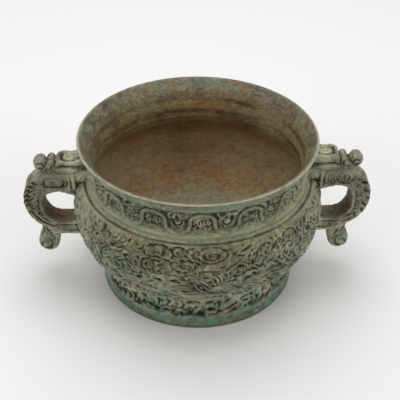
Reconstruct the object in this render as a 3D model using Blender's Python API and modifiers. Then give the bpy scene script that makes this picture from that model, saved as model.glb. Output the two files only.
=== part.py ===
"""Cast bronze incense burner: a wide bowl on a ring foot, with two beast-head loop handles.

Metres, +Z up. The origin is the centre of the foot's underside. The handles lie along X and the
front faces -Y. The whole burner is one casting: bowl, foot and handles make a single solid.
"""
import math

import bmesh
import bpy
from mathutils import Matrix, Vector

MM = 0.001

# Vessel, outside
RIM_RADIUS = 95.4 * MM
RIM_HEIGHT = 133.5 * MM
NECK_RADIUS = 87.2 * MM
NECK_WAIST = 108.0 * MM
NECK_ARC = 43.0 * MM
SHOULDER_RADIUS = 90.2 * MM
SHOULDER_HEIGHT = 95.3 * MM
BELLY_RADIUS = 101.0 * MM
BELLY_HEIGHT = 72.0 * MM
BELLY_FOOT_RADIUS = 80.0 * MM
FOOT_TOP = 35.5 * MM
FOOT_WAIST_RADIUS = 77.4 * MM
FLANGE_RADIUS = 80.3 * MM
FLANGE_HEIGHT = 11.5 * MM
FOOT_RADIUS = 79.7 * MM

# Vessel, inside
WALL = 4.0 * MM
LIP_WIDTH = 3.0 * MM
INNER_SHOULDER = 94.5 * MM
FLOOR_RADIUS = 45.0 * MM
FLOOR_TOP = 33.5 * MM
FLOOR_UNDERSIDE = 29.5 * MM
FOOT_WALL = 4.6 * MM

# Relief on the vessel
PLAIN_BAND_LOW = 122.6 * MM
FRIEZE_LOW = 99.5 * MM
FRIEZE_HIGH = 122.0 * MM
FRIEZE_DEPTH = 0.8 * MM
RIBBON_WAVES = 15
RIBBON_SWING = 7.9 * MM
RIBBON_HALF_WIDTH = 2.7 * MM
RIBBON_HEIGHT = 1.2 * MM
PEARL_RADIUS = 3.8 * MM
COILS = 15
COIL_RADIUS = 10.6 * MM
COIL_PITCH = 7.4 * MM
COIL_RELIEF = 1.7 * MM
UPPER_COIL_TURN = 4.5
UPPER_COIL_HEIGHT = 85.0 * MM
LOWER_COIL_TURN = 16.5
LOWER_COIL_HEIGHT = 64.5 * MM
WATER_TOP = 53.0 * MM
WATER_PITCH = 7.0 * MM
WATER_RELIEF = 0.9 * MM
FOOT_LEAVES = 30
LEAF_LOW = 13.0 * MM
LEAF_HIGH = 30.0 * MM
LEAF_RELIEF = 1.4 * MM
HOLLOW_HEIGHT = 24.5 * MM

# Resolution: the carved surface before and after its flat stretches are thinned, and plain turning
CARVED_STEPS = 360
ROW_STEP = 2.2 * MM
CARVED_TRIANGLES = 6500
TURN_STEPS = 48
LAST_THINNING = 0.7

# Handles, in the vertical plane through the axis: distance out from the axis, height
LOOP_CENTRE = (110.8 * MM, 77.0 * MM)
LOOP_RADIUS = 31.0 * MM
LOOP_TOP = 104.0 * MM
LOOP_UNDERSIDE = 42.4 * MM
LOOP_ROOT = 84.5 * MM
LOOP_THICKNESS = 18.0 * MM
LOOP_BEVEL = 2.2 * MM
EYE_CENTRE = (111.5 * MM, 71.5 * MM)
EYE_HALF_WIDTH = 14.0 * MM
EYE_DEPTH = 15.5 * MM
EYE_ROOF_DROP = 7.0 * MM
HEAD_HALF_WIDTH = 10.3 * MM
EAR_FRONT = 113.5 * MM
EAR_RISE = 0.13
EAR_RIDGE = 4.2 * MM
NOSE_HEIGHT = 109.2 * MM
NOSE_RADIUS = 5.7 * MM
NOSE_HALF_WIDTH = 9.0 * MM
BROW = (116.8 * MM, 6.4 * MM, 109.8 * MM)
SCROLL_CENTRE = (118.0 * MM, 95.5 * MM)
PENDANT_RADIUS = 8.7 * MM
PENDANT_THICKNESS = 15.0 * MM

# The two handles were finished by hand and differ a little
HANDLES = {
    "left": {"side": -1.0, "head_top": 114.6 * MM, "nose": 125.9 * MM, "roof": 85.0 * MM,
             "pendant": (124.9 * MM, 32.4 * MM)},
    "right": {"side": 1.0, "head_top": 117.6 * MM, "nose": 127.7 * MM, "roof": 88.0 * MM,
              "pendant": (119.5 * MM, 30.9 * MM)},
}


def clear_scene():
    for thing in list(bpy.data.objects):
        bpy.data.objects.remove(thing)


def collection(name):
    group = bpy.data.collections.new(name)
    bpy.context.scene.collection.children.link(group)
    return group


def bronze():
    material = bpy.data.materials.new("weathered bronze")
    material.use_nodes = True
    shader = material.node_tree.nodes["Principled BSDF"]
    shader.inputs["Base Color"].default_value = (0.16, 0.16, 0.11, 1.0)
    shader.inputs["Roughness"].default_value = 0.55
    shader.inputs["Metallic"].default_value = 0.6
    return material


def smooth_step(low, high, value):
    part = min(max((value - low) / (high - low), 0.0), 1.0)
    return part * part * (3.0 - 2.0 * part)


def mound(ratio):
    """A rounded hump: 1 at ratio 0, and 0 from ratio 1 on."""
    return max(0.0, 1.0 - ratio * ratio) ** 2


def steps(low, high, step):
    count = max(1, round(abs(high - low) / step))
    return [low + (high - low) * index / count for index in range(count + 1)]


def neck_radius(height):
    return NECK_RADIUS + (height - NECK_WAIST) ** 2 / (2.0 * NECK_ARC)


def quarter_ellipse(edge, middle, first, last, step):
    """Points round an ellipse quarter: edge and middle are its ends as radius and height."""
    return [(edge[0] + (middle[0] - edge[0]) * math.cos(turn),
             middle[1] + (edge[1] - middle[1]) * math.sin(turn))
            for turn in steps(first, last, step)]


def carved_profile():
    """The outside from the plain band down to the flange, closed to the axis."""
    neck = [(neck_radius(height), height) for height in
            steps(PLAIN_BAND_LOW + 2.0 * MM, SHOULDER_HEIGHT + 2.6 * MM, ROW_STEP)]
    middle = (BELLY_RADIUS, BELLY_HEIGHT)
    upper = quarter_ellipse((SHOULDER_RADIUS - 1.4 * MM, SHOULDER_HEIGHT), middle,
                            math.pi / 2.0, 0.0, 0.105)
    lower = quarter_ellipse((BELLY_FOOT_RADIUS, FOOT_TOP), middle, 0.0, math.pi / 2.0, 0.065)
    foot = [(FOOT_WAIST_RADIUS, height) for height in
            steps(FOOT_TOP - 3.0 * MM, FLANGE_HEIGHT - 4.0 * MM, ROW_STEP)]
    return [(0.0, neck[0][1])] + neck + upper + lower[1:] + foot + [(0.0, foot[-1][1])]


def lip_ring():
    """The plain flared band and the thin lip at its top."""
    low = neck_radius(PLAIN_BAND_LOW)
    top = RIM_HEIGHT - 3.2 * MM
    return [(RIM_RADIUS - 1.9 * MM, RIM_HEIGHT), (RIM_RADIUS - 0.5 * MM, RIM_HEIGHT - 0.3 * MM),
            (RIM_RADIUS, RIM_HEIGHT - 1.0 * MM), (RIM_RADIUS - 1.3 * MM, RIM_HEIGHT - 2.2 * MM),
            (neck_radius(top), top), (low + 1.0 * MM, PLAIN_BAND_LOW + 1.2 * MM),
            (low - 0.8 * MM, PLAIN_BAND_LOW), (NECK_RADIUS - WALL - 5.0 * MM, PLAIN_BAND_LOW),
            (NECK_RADIUS - WALL - 5.0 * MM, RIM_HEIGHT)]


def shoulder_bead():
    """The ridge that parts the neck from the belly."""
    return [(NECK_RADIUS - WALL, SHOULDER_HEIGHT + 2.0 * MM),
            (SHOULDER_RADIUS - 1.4 * MM, SHOULDER_HEIGHT + 1.5 * MM),
            (SHOULDER_RADIUS, SHOULDER_HEIGHT), (SHOULDER_RADIUS + 0.9 * MM, SHOULDER_HEIGHT - 1.6 * MM),
            (NECK_RADIUS - WALL, SHOULDER_HEIGHT - 4.0 * MM)]


def flange_ring():
    """The plain standing flange at the foot's lower edge."""
    inner = FOOT_RADIUS - FOOT_WALL - 4.0 * MM
    return [(FOOT_WAIST_RADIUS - 0.5 * MM, FLANGE_HEIGHT + 1.0 * MM),
            (FLANGE_RADIUS - 0.4 * MM, FLANGE_HEIGHT), (FLANGE_RADIUS, FLANGE_HEIGHT - 1.6 * MM),
            (FLANGE_RADIUS, 1.4 * MM), (FOOT_RADIUS, 0.0), (inner, 0.0),
            (inner, FLANGE_HEIGHT + 1.0 * MM)]


def inner_profile():
    """The inside of the bowl, from above the rim down to the middle of the floor."""
    above = RIM_HEIGHT + 8.0 * MM
    throat = NECK_RADIUS - WALL
    mouth = [(0.0, above), (RIM_RADIUS - 1.9 * MM, above),
             (RIM_RADIUS - 1.9 * MM, RIM_HEIGHT - 0.05 * MM),
             (RIM_RADIUS - LIP_WIDTH, RIM_HEIGHT - 0.8 * MM),
             (RIM_RADIUS - LIP_WIDTH - 1.8 * MM, RIM_HEIGHT - 4.5 * MM),
             (throat + 2.1 * MM, RIM_HEIGHT - 12.0 * MM),
             (throat, NECK_WAIST + 6.0 * MM), (throat, INNER_SHOULDER + 4.0 * MM)]
    middle = (BELLY_RADIUS - WALL, BELLY_HEIGHT)
    upper = quarter_ellipse((throat + 1.0 * MM, INNER_SHOULDER), middle, math.pi / 2.0, 0.0, 0.4)
    lower = quarter_ellipse((FLOOR_RADIUS, FLOOR_TOP), middle, 0.0, math.pi / 2.0, 0.31)
    return mouth + upper + lower[1:] + [(0.0, FLOOR_TOP)]


def recess_profile():
    """The space under the bowl, inside the ring foot."""
    inside = FOOT_RADIUS - FOOT_WALL
    below = -3.0 * MM
    return [(0.0, FLOOR_UNDERSIDE), (0.75 * inside, FLOOR_UNDERSIDE),
            (inside - 3.0 * MM, FLOOR_UNDERSIDE - 3.0 * MM),
            (inside - 1.0 * MM, FLOOR_UNDERSIDE - 8.0 * MM), (inside, below), (0.0, below)]


def ribbon_height(turn):
    """Centre line of the ribbon that snakes round the neck in arches and cups."""
    wave = math.cos(turn * RIBBON_WAVES)
    middle = 0.5 * (FRIEZE_LOW + FRIEZE_HIGH)
    return middle + RIBBON_SWING * wave * 1.118 / math.sqrt(wave * wave + 0.25)


def frieze_relief(turn, height):
    """The ribbon, with a pearl in each of its arches and cups, on a sunk ground."""
    inside = smooth_step(FRIEZE_LOW - 1.5 * MM, FRIEZE_LOW, height)
    small = 0.002
    slope = (ribbon_height(turn + small) - ribbon_height(turn - small)) / (2.0 * small * NECK_RADIUS)
    distance = abs(height - ribbon_height(turn)) / math.hypot(1.0, slope)
    ribbon = mound(distance / RIBBON_HALF_WIDTH)
    half_wave = math.pi / RIBBON_WAVES
    cell = round(turn / half_wave)
    across = (turn - cell * half_wave) * NECK_RADIUS
    drop = 2.0 * MM if cell % 2 == 0 else -2.0 * MM
    pearl_height = 0.5 * (FRIEZE_LOW + FRIEZE_HIGH) - drop
    pearl = mound(math.hypot(across, height - pearl_height) / PEARL_RADIUS)
    return inside * (-FRIEZE_DEPTH + (RIBBON_HEIGHT + FRIEZE_DEPTH) * max(ribbon, 0.8 * pearl))


def coil_relief(turn, height, first_turn, middle):
    """One row of spiral coils: the first coil's angle in degrees, and the coils' height."""
    spacing = 2.0 * math.pi / COILS
    nearest = round((turn - math.radians(first_turn)) / spacing)
    across = (turn - math.radians(first_turn) - nearest * spacing) * BELLY_RADIUS / 1.12
    up = height - middle
    hand = 1.0 if nearest % 2 == 0 else -1.0
    reach = math.hypot(across, up)
    phase = reach / COIL_PITCH - hand * math.atan2(up, across) / (2.0 * math.pi)
    ridge = 0.5 + 0.5 * math.cos(2.0 * math.pi * phase)
    return ridge * (1.0 - smooth_step(0.8 * COIL_RADIUS, COIL_RADIUS, reach))


def belly_relief(turn, height):
    if not FOOT_TOP < height < SHOULDER_HEIGHT - 1.0 * MM:
        return 0.0
    coils = max(coil_relief(turn, height, UPPER_COIL_TURN, UPPER_COIL_HEIGHT),
                coil_relief(turn, height, LOWER_COIL_TURN, LOWER_COIL_HEIGHT))
    drift = 1.5 * MM * math.sin(COILS * turn)
    crest = 0.5 + 0.5 * math.cos(2.0 * math.pi * (height + drift) / WATER_PITCH)
    water = crest * (1.0 - smooth_step(WATER_TOP, WATER_TOP + 2.0 * MM, height))
    fade = smooth_step(FOOT_TOP, FOOT_TOP + 4.0 * MM, height)
    return fade * (COIL_RELIEF * coils + WATER_RELIEF * water)


def leaf_relief(turn, height):
    """A row of curled leaves round the foot, with hollows between their tips."""
    if not LEAF_LOW - 2.0 * MM < height < LEAF_HIGH + 2.0 * MM:
        return 0.0
    across = abs(math.sin(0.5 * FOOT_LEAVES * turn))
    edge = LEAF_LOW + 5.0 * MM * (1.0 - across)
    body = smooth_step(edge - 1.0 * MM, edge + 2.0 * MM, height)
    hollow = mound(math.hypot((1.0 - across) * 8.0 * MM, height - HOLLOW_HEIGHT) / (5.0 * MM))
    top = 1.0 - smooth_step(LEAF_HIGH - 2.0 * MM, LEAF_HIGH, height)
    return LEAF_RELIEF * (body * top * (0.35 + 0.65 * across) - hollow)


def carve(mesh):
    """Raises the relief outwards from the turned surface."""
    for vertex in mesh.vertices:
        place = vertex.co
        if math.hypot(place.x, place.y) < FOOT_WAIST_RADIUS - 1.0 * MM:
            continue
        turn = math.atan2(place.x, -place.y)
        height = place.z
        if height > SHOULDER_HEIGHT:
            raised = frieze_relief(turn, height)
        else:
            raised = belly_relief(turn, height) + leaf_relief(turn, height)
        outward = Vector((math.sin(turn), -math.cos(turn), 0.0))
        if FOOT_TOP < height < BELLY_HEIGHT - 10.0 * MM:
            outward = (outward + Vector((0.0, 0.0, -0.7))).normalized()
        vertex.co = place + outward * raised


def make_real(thing):
    """Replaces an object with its evaluated mesh, welded and with its faces pointing out."""
    bpy.context.view_layer.update()
    evaluated = thing.evaluated_get(bpy.context.evaluated_depsgraph_get())
    mesh = bpy.data.meshes.new_from_object(evaluated)
    name = thing.name
    group = thing.users_collection[0]
    place = thing.matrix_world.copy()
    bpy.data.objects.remove(thing)
    shape = bmesh.new()
    shape.from_mesh(mesh)
    bmesh.ops.remove_doubles(shape, verts=shape.verts, dist=0.00001)
    bmesh.ops.recalc_face_normals(shape, faces=shape.faces)
    shape.to_mesh(mesh)
    shape.free()
    solid = bpy.data.objects.new(name, mesh)
    solid.name = name
    solid.matrix_world = place
    group.objects.link(solid)
    return solid


def turned(name, profile, turn_steps, group):
    """A profile at +X, outer side from top to bottom, turned round Z; a ring if off the axis."""
    mesh = bpy.data.meshes.new(name)
    corners = [(radius, 0.0, height) for radius, height in profile]
    edges = [(index, index + 1) for index in range(len(corners) - 1)]
    if profile[0][0] > 0.0:
        edges.append((len(corners) - 1, 0))
    mesh.from_pydata(corners, edges, [])
    thing = bpy.data.objects.new(name, mesh)
    group.objects.link(thing)
    screw = thing.modifiers.new("turn", "SCREW")
    screw.axis = "Z"
    screw.angle = 2.0 * math.pi
    screw.steps = turn_steps
    screw.render_steps = turn_steps
    screw.use_merge_vertices = True
    screw.merge_threshold = 0.00001
    return make_real(thing)


def plate(name, outlines, thickness, group):
    """Flat outlines in the X-Z plane, extruded along Y, with rounded edges."""
    curve = bpy.data.curves.new(name, "CURVE")
    curve.dimensions = "2D"
    curve.fill_mode = "BOTH"
    curve.extrude = 0.5 * thickness - LOOP_BEVEL
    curve.bevel_depth = LOOP_BEVEL
    curve.bevel_resolution = 1
    curve.offset = -LOOP_BEVEL
    for outline in outlines:
        spline = curve.splines.new("POLY")
        spline.points.add(len(outline) - 1)
        for point, (out, height) in zip(spline.points, outline):
            point.co = (out, height, 0.0, 1.0)
        spline.use_cyclic_u = True
    thing = bpy.data.objects.new(name, curve)
    thing.rotation_euler = (math.pi / 2.0, 0.0, 0.0)
    group.objects.link(thing)
    return make_real(thing)


def solid_from(shape, name, group):
    mesh = bpy.data.meshes.new(name)
    shape.to_mesh(mesh)
    shape.free()
    thing = bpy.data.objects.new(name, mesh)
    group.objects.link(thing)
    return thing


def box(name, low, high, bevel, group):
    shape = bmesh.new()
    bmesh.ops.create_cube(shape, size=1.0)
    size = [top - bottom for bottom, top in zip(low, high)]
    middle = [0.5 * (top + bottom) for bottom, top in zip(low, high)]
    bmesh.ops.scale(shape, vec=size, verts=shape.verts)
    bmesh.ops.translate(shape, vec=middle, verts=shape.verts)
    bmesh.ops.bevel(shape, geom=shape.edges[:] + shape.verts[:], offset=bevel, segments=1,
                    profile=0.5, affect="EDGES")
    return solid_from(shape, name, group)


def ball(name, centre, radii, rings, group):
    shape = bmesh.new()
    bmesh.ops.create_uvsphere(shape, u_segments=rings + 3, v_segments=rings, radius=1.0)
    bmesh.ops.scale(shape, vec=radii, verts=shape.verts)
    bmesh.ops.translate(shape, vec=centre, verts=shape.verts)
    return solid_from(shape, name, group)


def arc(centre, radius, first, last, count):
    turns = [math.radians(first + (last - first) * index / count) for index in range(count + 1)]
    return [(centre[0] + radius * math.cos(turn), centre[1] + radius * math.sin(turn))
            for turn in turns]


def loop_outline():
    top = [(LOOP_ROOT, LOOP_TOP), (LOOP_CENTRE[0] + 15.5 * MM, LOOP_TOP),
           (LOOP_CENTRE[0] + 19.0 * MM, LOOP_TOP - 3.5 * MM),
           (LOOP_CENTRE[0] + 23.2 * MM, LOOP_TOP - 8.7 * MM)]
    round_side = arc(LOOP_CENTRE, LOOP_RADIUS, 26.0, -62.0, 10)
    under = [(LOOP_CENTRE[0] + 9.0 * MM, LOOP_UNDERSIDE), (LOOP_ROOT, LOOP_UNDERSIDE)]
    return top + round_side + under


def loop_eye(roof):
    """The finger hole: square at its upper outer corner, round below, open to the vessel's wall."""
    rise = roof - EYE_CENTRE[1]
    outer_side = [(EYE_CENTRE[0] + EYE_HALF_WIDTH * max(math.sin(turn), 0.0) ** 0.7,
                   EYE_CENTRE[1] + rise * math.cos(turn) ** 0.7)
                  for turn in steps(0.0, 0.5 * math.pi, 0.39)]
    lower_side = [(EYE_CENTRE[0] + EYE_HALF_WIDTH * math.cos(turn),
                   EYE_CENTRE[1] - EYE_DEPTH * math.sin(turn))
                  for turn in steps(0.0, 0.5 * math.pi, 0.31)[1:]]
    wall_side = LOOP_ROOT + 6.5 * MM
    inner_side = [(wall_side, EYE_CENTRE[1] - EYE_DEPTH), (wall_side, roof - 12.0 * MM),
                  (EYE_CENTRE[0] - 0.85 * EYE_HALF_WIDTH, roof - 0.55 * EYE_ROOF_DROP)]
    return outer_side + lower_side + inner_side


def pendant_outline(centre):
    """A tail that hangs from the loop and curls up at its outer side."""
    outer_side = [(centre[0] + 3.6 * MM, centre[1] + 17.5 * MM),
                  (centre[0] + 5.3 * MM, centre[1] + 11.5 * MM),
                  (centre[0] + 4.0 * MM, centre[1] + 7.4 * MM),
                  (centre[0] + 5.6 * MM, centre[1] + 6.6 * MM)]
    curl = arc(centre, PENDANT_RADIUS, 33.0, -178.0, 12)
    inner_side = [(centre[0] - PENDANT_RADIUS - 1.6 * MM, LOOP_UNDERSIDE - 3.0 * MM),
                  (centre[0] - PENDANT_RADIUS - 3.6 * MM, LOOP_UNDERSIDE + 5.0 * MM)]
    return outer_side + curl + inner_side


def head_pieces(sizes, group, pits):
    """The beast's head on top of the loop, facing outwards, at +X."""
    wide = HEAD_HALF_WIDTH
    top = sizes["head_top"]
    box("jaw", (LOOP_ROOT, 1.0 * MM - wide, LOOP_TOP - 2.0 * MM),
        (BROW[0] + 5.0 * MM, wide - 1.0 * MM, BROW[2] + 0.6 * MM), 2.0 * MM, group)
    ear = box("ear", (LOOP_ROOT, -wide, LOOP_TOP + 1.5 * MM), (EAR_FRONT, wide, top),
              2.4 * MM, group)
    recess = box("ear_recess", (LOOP_ROOT - 4.0 * MM, EAR_RIDGE - wide, top - 2.0 * MM),
                 (EAR_FRONT - EAR_RIDGE, wide - EAR_RIDGE, top + 8.0 * MM), 1.2 * MM, pits)
    for thing in (ear, recess):
        for vertex in thing.data.vertices:
            if vertex.co.z > LOOP_TOP + 6.0 * MM:
                vertex.co.z += EAR_RISE * (EAR_FRONT - vertex.co.x)
    ball("ear_boss", (EAR_FRONT - 11.5 * MM, 0.0, top - 0.4 * MM),
         (5.4 * MM, 5.0 * MM, 2.8 * MM), 6, group)
    ball("nose", (sizes["nose"], 0.0, NOSE_HEIGHT),
         (NOSE_RADIUS, NOSE_HALF_WIDTH, NOSE_RADIUS), 8, group)
    box("snout", (BROW[0] - 4.0 * MM, -7.6 * MM, LOOP_TOP - 3.0 * MM),
        (sizes["nose"] + 1.5 * MM, 7.6 * MM, NOSE_HEIGHT - 0.5 * MM), 2.0 * MM, group)
    for side in (-1.0, 1.0):
        ball("brow", (BROW[0], side * BROW[1], BROW[2]), (3.4 * MM, 3.2 * MM, 3.2 * MM), 5, group)
        ball("pupil", (BROW[0] + 0.5 * MM, side * (BROW[1] + 0.4 * MM), BROW[2] + 3.4 * MM),
             (1.5 * MM, 1.5 * MM, 2.2 * MM), 4, pits)


def handle(name, sizes, additions):
    """One handle: the loop with its head and pendant joined on, modelled at +X."""
    pieces = collection(name + " pieces")
    pits = collection(name + " pits")
    body = plate("handle_" + name, [loop_outline(), loop_eye(sizes["roof"])], LOOP_THICKNESS,
                 additions)
    pendant = sizes["pendant"]
    plate("pendant", [pendant_outline(pendant)], PENDANT_THICKNESS, pieces)
    head_pieces(sizes, pieces, pits)
    proud = 0.5 * LOOP_THICKNESS + 0.8 * MM
    box("joint_bar", (97.5 * MM, -proud, 88.8 * MM), (101.3 * MM, proud, LOOP_TOP - 1.0 * MM),
        0.7 * MM, pieces)
    for side in (-1.0, 1.0):
        ball("scroll", (SCROLL_CENTRE[0], side * 0.5 * LOOP_THICKNESS, SCROLL_CENTRE[1]),
             (6.6 * MM, 1.5 * MM, 5.2 * MM), 5, pieces)
        ball("tail_eye", (pendant[0] + 3.2 * MM, side * 0.5 * PENDANT_THICKNESS,
                          pendant[1] + 0.5 * MM), (2.3 * MM, 1.8 * MM, 2.3 * MM), 4, pits)
    combine(body, pieces, "UNION")
    combine(body, pits, "DIFFERENCE")
    body = make_real(body)
    if sizes["side"] < 0.0:
        body.data.transform(body.matrix_world)
        body.matrix_world.identity()
        body.data.transform(Matrix.Scale(-1.0, 4, Vector((1.0, 0.0, 0.0))))
        body.data.flip_normals()


def combine(thing, group, operation):
    for piece in group.objects:
        piece.display_type = "WIRE"
        piece.hide_render = True
    boolean = thing.modifiers.new(group.name, "BOOLEAN")
    boolean.operation = operation
    boolean.operand_type = "COLLECTION"
    boolean.collection = group
    boolean.solver = "EXACT"


def build():
    clear_scene()
    parts = collection("incense_burner")
    additions = collection("added to the bowl")
    hollows = collection("vessel hollows")

    burner = turned("incense_burner", carved_profile(), CARVED_STEPS, parts)
    carve(burner.data)
    thin = burner.modifiers.new("thin flat stretches", "DECIMATE")
    thin.ratio = CARVED_TRIANGLES / sum(len(face.vertices) - 2 for face in burner.data.polygons)
    thin.use_collapse_triangulate = True

    for name, sizes in HANDLES.items():
        handle(name, sizes, additions)
    turned("lip_ring", lip_ring(), TURN_STEPS, additions)
    turned("shoulder_bead", shoulder_bead(), TURN_STEPS, additions)
    turned("flange_ring", flange_ring(), TURN_STEPS, additions)
    turned("bowl_hollow", inner_profile(), TURN_STEPS, hollows)
    turned("foot_hollow", recess_profile(), TURN_STEPS, hollows)
    combine(burner, additions, "UNION")
    combine(burner, hollows, "DIFFERENCE")
    last = burner.modifiers.new("thin the seams", "DECIMATE")
    last.ratio = LAST_THINNING
    last.use_collapse_triangulate = True
    burner.data.materials.append(bronze())


build()
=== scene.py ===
"""Looks of the bronze incense burner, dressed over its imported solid.

One cast piece: a wide bowl with a carved neck, belly and foot, and two beast-head loop handles.
"""

import math
import random

import bmesh
import bpy
import numpy as np
from mathutils import Matrix, Vector


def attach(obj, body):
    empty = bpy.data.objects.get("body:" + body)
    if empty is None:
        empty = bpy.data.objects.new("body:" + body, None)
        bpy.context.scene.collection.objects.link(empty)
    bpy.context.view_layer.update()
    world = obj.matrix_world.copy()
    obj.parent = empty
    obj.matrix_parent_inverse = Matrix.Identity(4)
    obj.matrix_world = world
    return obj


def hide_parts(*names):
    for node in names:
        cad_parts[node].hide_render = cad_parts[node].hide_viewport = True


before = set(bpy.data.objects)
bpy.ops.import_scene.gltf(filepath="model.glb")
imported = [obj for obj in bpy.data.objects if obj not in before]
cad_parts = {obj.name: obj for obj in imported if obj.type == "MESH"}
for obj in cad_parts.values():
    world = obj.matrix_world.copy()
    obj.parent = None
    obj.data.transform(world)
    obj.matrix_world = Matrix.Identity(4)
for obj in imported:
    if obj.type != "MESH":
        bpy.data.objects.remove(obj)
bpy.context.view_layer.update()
bpy.ops.object.select_all(action="DESELECT")

MM = 0.001
FULL_TURN = 2.0 * math.pi
QUARTER_TURN = 0.5 * math.pi

# Vessel sizes, as in the solid
NECK_RADIUS = 87.2
NECK_WAIST = 108.0
NECK_ARC = 43.0
BELLY_HEIGHT = 72.0
FOOT_TOP = 35.5
FOOT_WAIST = 77.4
FLANGE_RADIUS = 80.25
THROAT = 83.2
BOWL_RADIUS = 96.5
BOWL_FLOOR = 33.5
FOOT_RECESS = 29.5

# Surface grid, and the steps of drawn lines and of the flow that the strokes follow
COLUMNS = 1152
ROW_STEP = 0.72
INSIDE_STEP = 2.4
UNDER_STEP = 4.0
LINE_STEP = 0.8
FLOW_COLUMNS = 1100
STROKE_TRIES = 5200
NECK_UNROLL = 88.0
BELLY_UNROLL = 97.0
FOOT_UNROLL = 78.0
DEEPEST_CUT = -2.6
HIGHEST_RIDGE = 1.75
PIECE_TRIANGLES = 196000

# Ribbon round the neck, and the thin raised lines of the scrolls
RIBBON_CELLS = 15
RIBBON_START = 0.5
RIBBON_MIDDLE = 124.4
RIBBON_TALL = 8.8
RIBBON_HALF = 1.45
LINE_HALF = 0.75
LINE_RISE = 1.0

RANDOM = random.Random(5)
between = RANDOM.uniform


def ease(low, high, value):
    part = np.clip((value - low) / (high - low), 0.0, 1.0)
    return part * part * (3.0 - 2.0 * part)


def resample(points, step):
    """Points at even distances along a line."""
    points = np.asarray(points, float)
    spans = np.hypot(*np.diff(points, axis=0).T)
    along = np.concatenate([[0.0], np.cumsum(spans)])
    count = max(2, int(round(along[-1] / step)) + 1)
    wanted = np.linspace(0.0, along[-1], count)
    return np.stack([np.interp(wanted, along, points[:, axis]) for axis in (0, 1)], 1)


def smooth_line(points):
    """A soft curve through the given points, sampled evenly."""
    points = [np.asarray(point, float) for point in points]
    if len(points) == 2:
        return resample(points, LINE_STEP)
    padded = [2 * points[0] - points[1]] + points + [2 * points[-1] - points[-2]]
    drawn = []
    for before, start, end, after in zip(padded, padded[1:], padded[2:], padded[3:]):
        for part in np.linspace(0.0, 1.0, 8, endpoint=False):
            square, cube = part * part, part ** 3
            drawn.append(0.5 * (2 * start + (end - before) * part
                                + (2 * before - 5 * start + 4 * end - after) * square
                                + (3 * start - before - 3 * end + after) * cube))
    drawn.append(points[-1])
    return resample(drawn, LINE_STEP)


def line_distance(grid_x, grid_y, points):
    """Distance from each place to a line, and how far along the line its nearest point lies."""
    nearest = np.full(grid_x.shape, 1e9)
    along = np.zeros(grid_x.shape)
    for index, (start, end) in enumerate(zip(points[:-1], points[1:])):
        step = end - start
        size = max(step @ step, 1e-9)
        part = np.clip(((grid_x - start[0]) * step[0] + (grid_y - start[1]) * step[1]) / size, 0.0, 1.0)
        gap = np.hypot(grid_x - start[0] - part * step[0], grid_y - start[1] - part * step[1])
        closer = gap < nearest
        nearest[closer] = gap[closer]
        along[closer] = (index + part[closer]) / (len(points) - 1)
    return nearest, along


def arc_line(centre, across, up, first, last):
    turns = np.radians(np.linspace(first, last, 40))
    return resample(np.stack([centre[0] + across * np.cos(turns), centre[1] + up * np.sin(turns)], 1),
                    LINE_STEP)


def spiral_line(centre, start, end, turns, first=0.0, hand=1.0, squash=1.0):
    part = np.linspace(0.0, 1.0, int(28 * turns))
    radius = start + (end - start) * part
    angle = math.radians(first) + hand * FULL_TURN * turns * part
    return np.stack([centre[0] + radius * np.cos(angle), centre[1] + squash * radius * np.sin(angle)], 1)


def beside(x, hand, *numbers):
    """Points from pairs of a distance from x, mirrored where hand is -1, and a height."""
    return [(x + hand * away, up) for away, up in zip(numbers[::2], numbers[1::2])]


def unrolled(points, radius):
    """Angle in degrees and arc length to a flat pattern in millimetres."""
    return [(math.radians(turn) * radius, up) for turn, up in points]


def both_faces(numbers, radius):
    """A line from pairs of angle and arc length on the front, and the same on the back, both unrolled."""
    turns, ups = numbers[::2], numbers[1::2]
    return [unrolled(zip(turns, ups), radius), unrolled(zip([180.0 - turn for turn in turns], ups), radius)]


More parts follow.
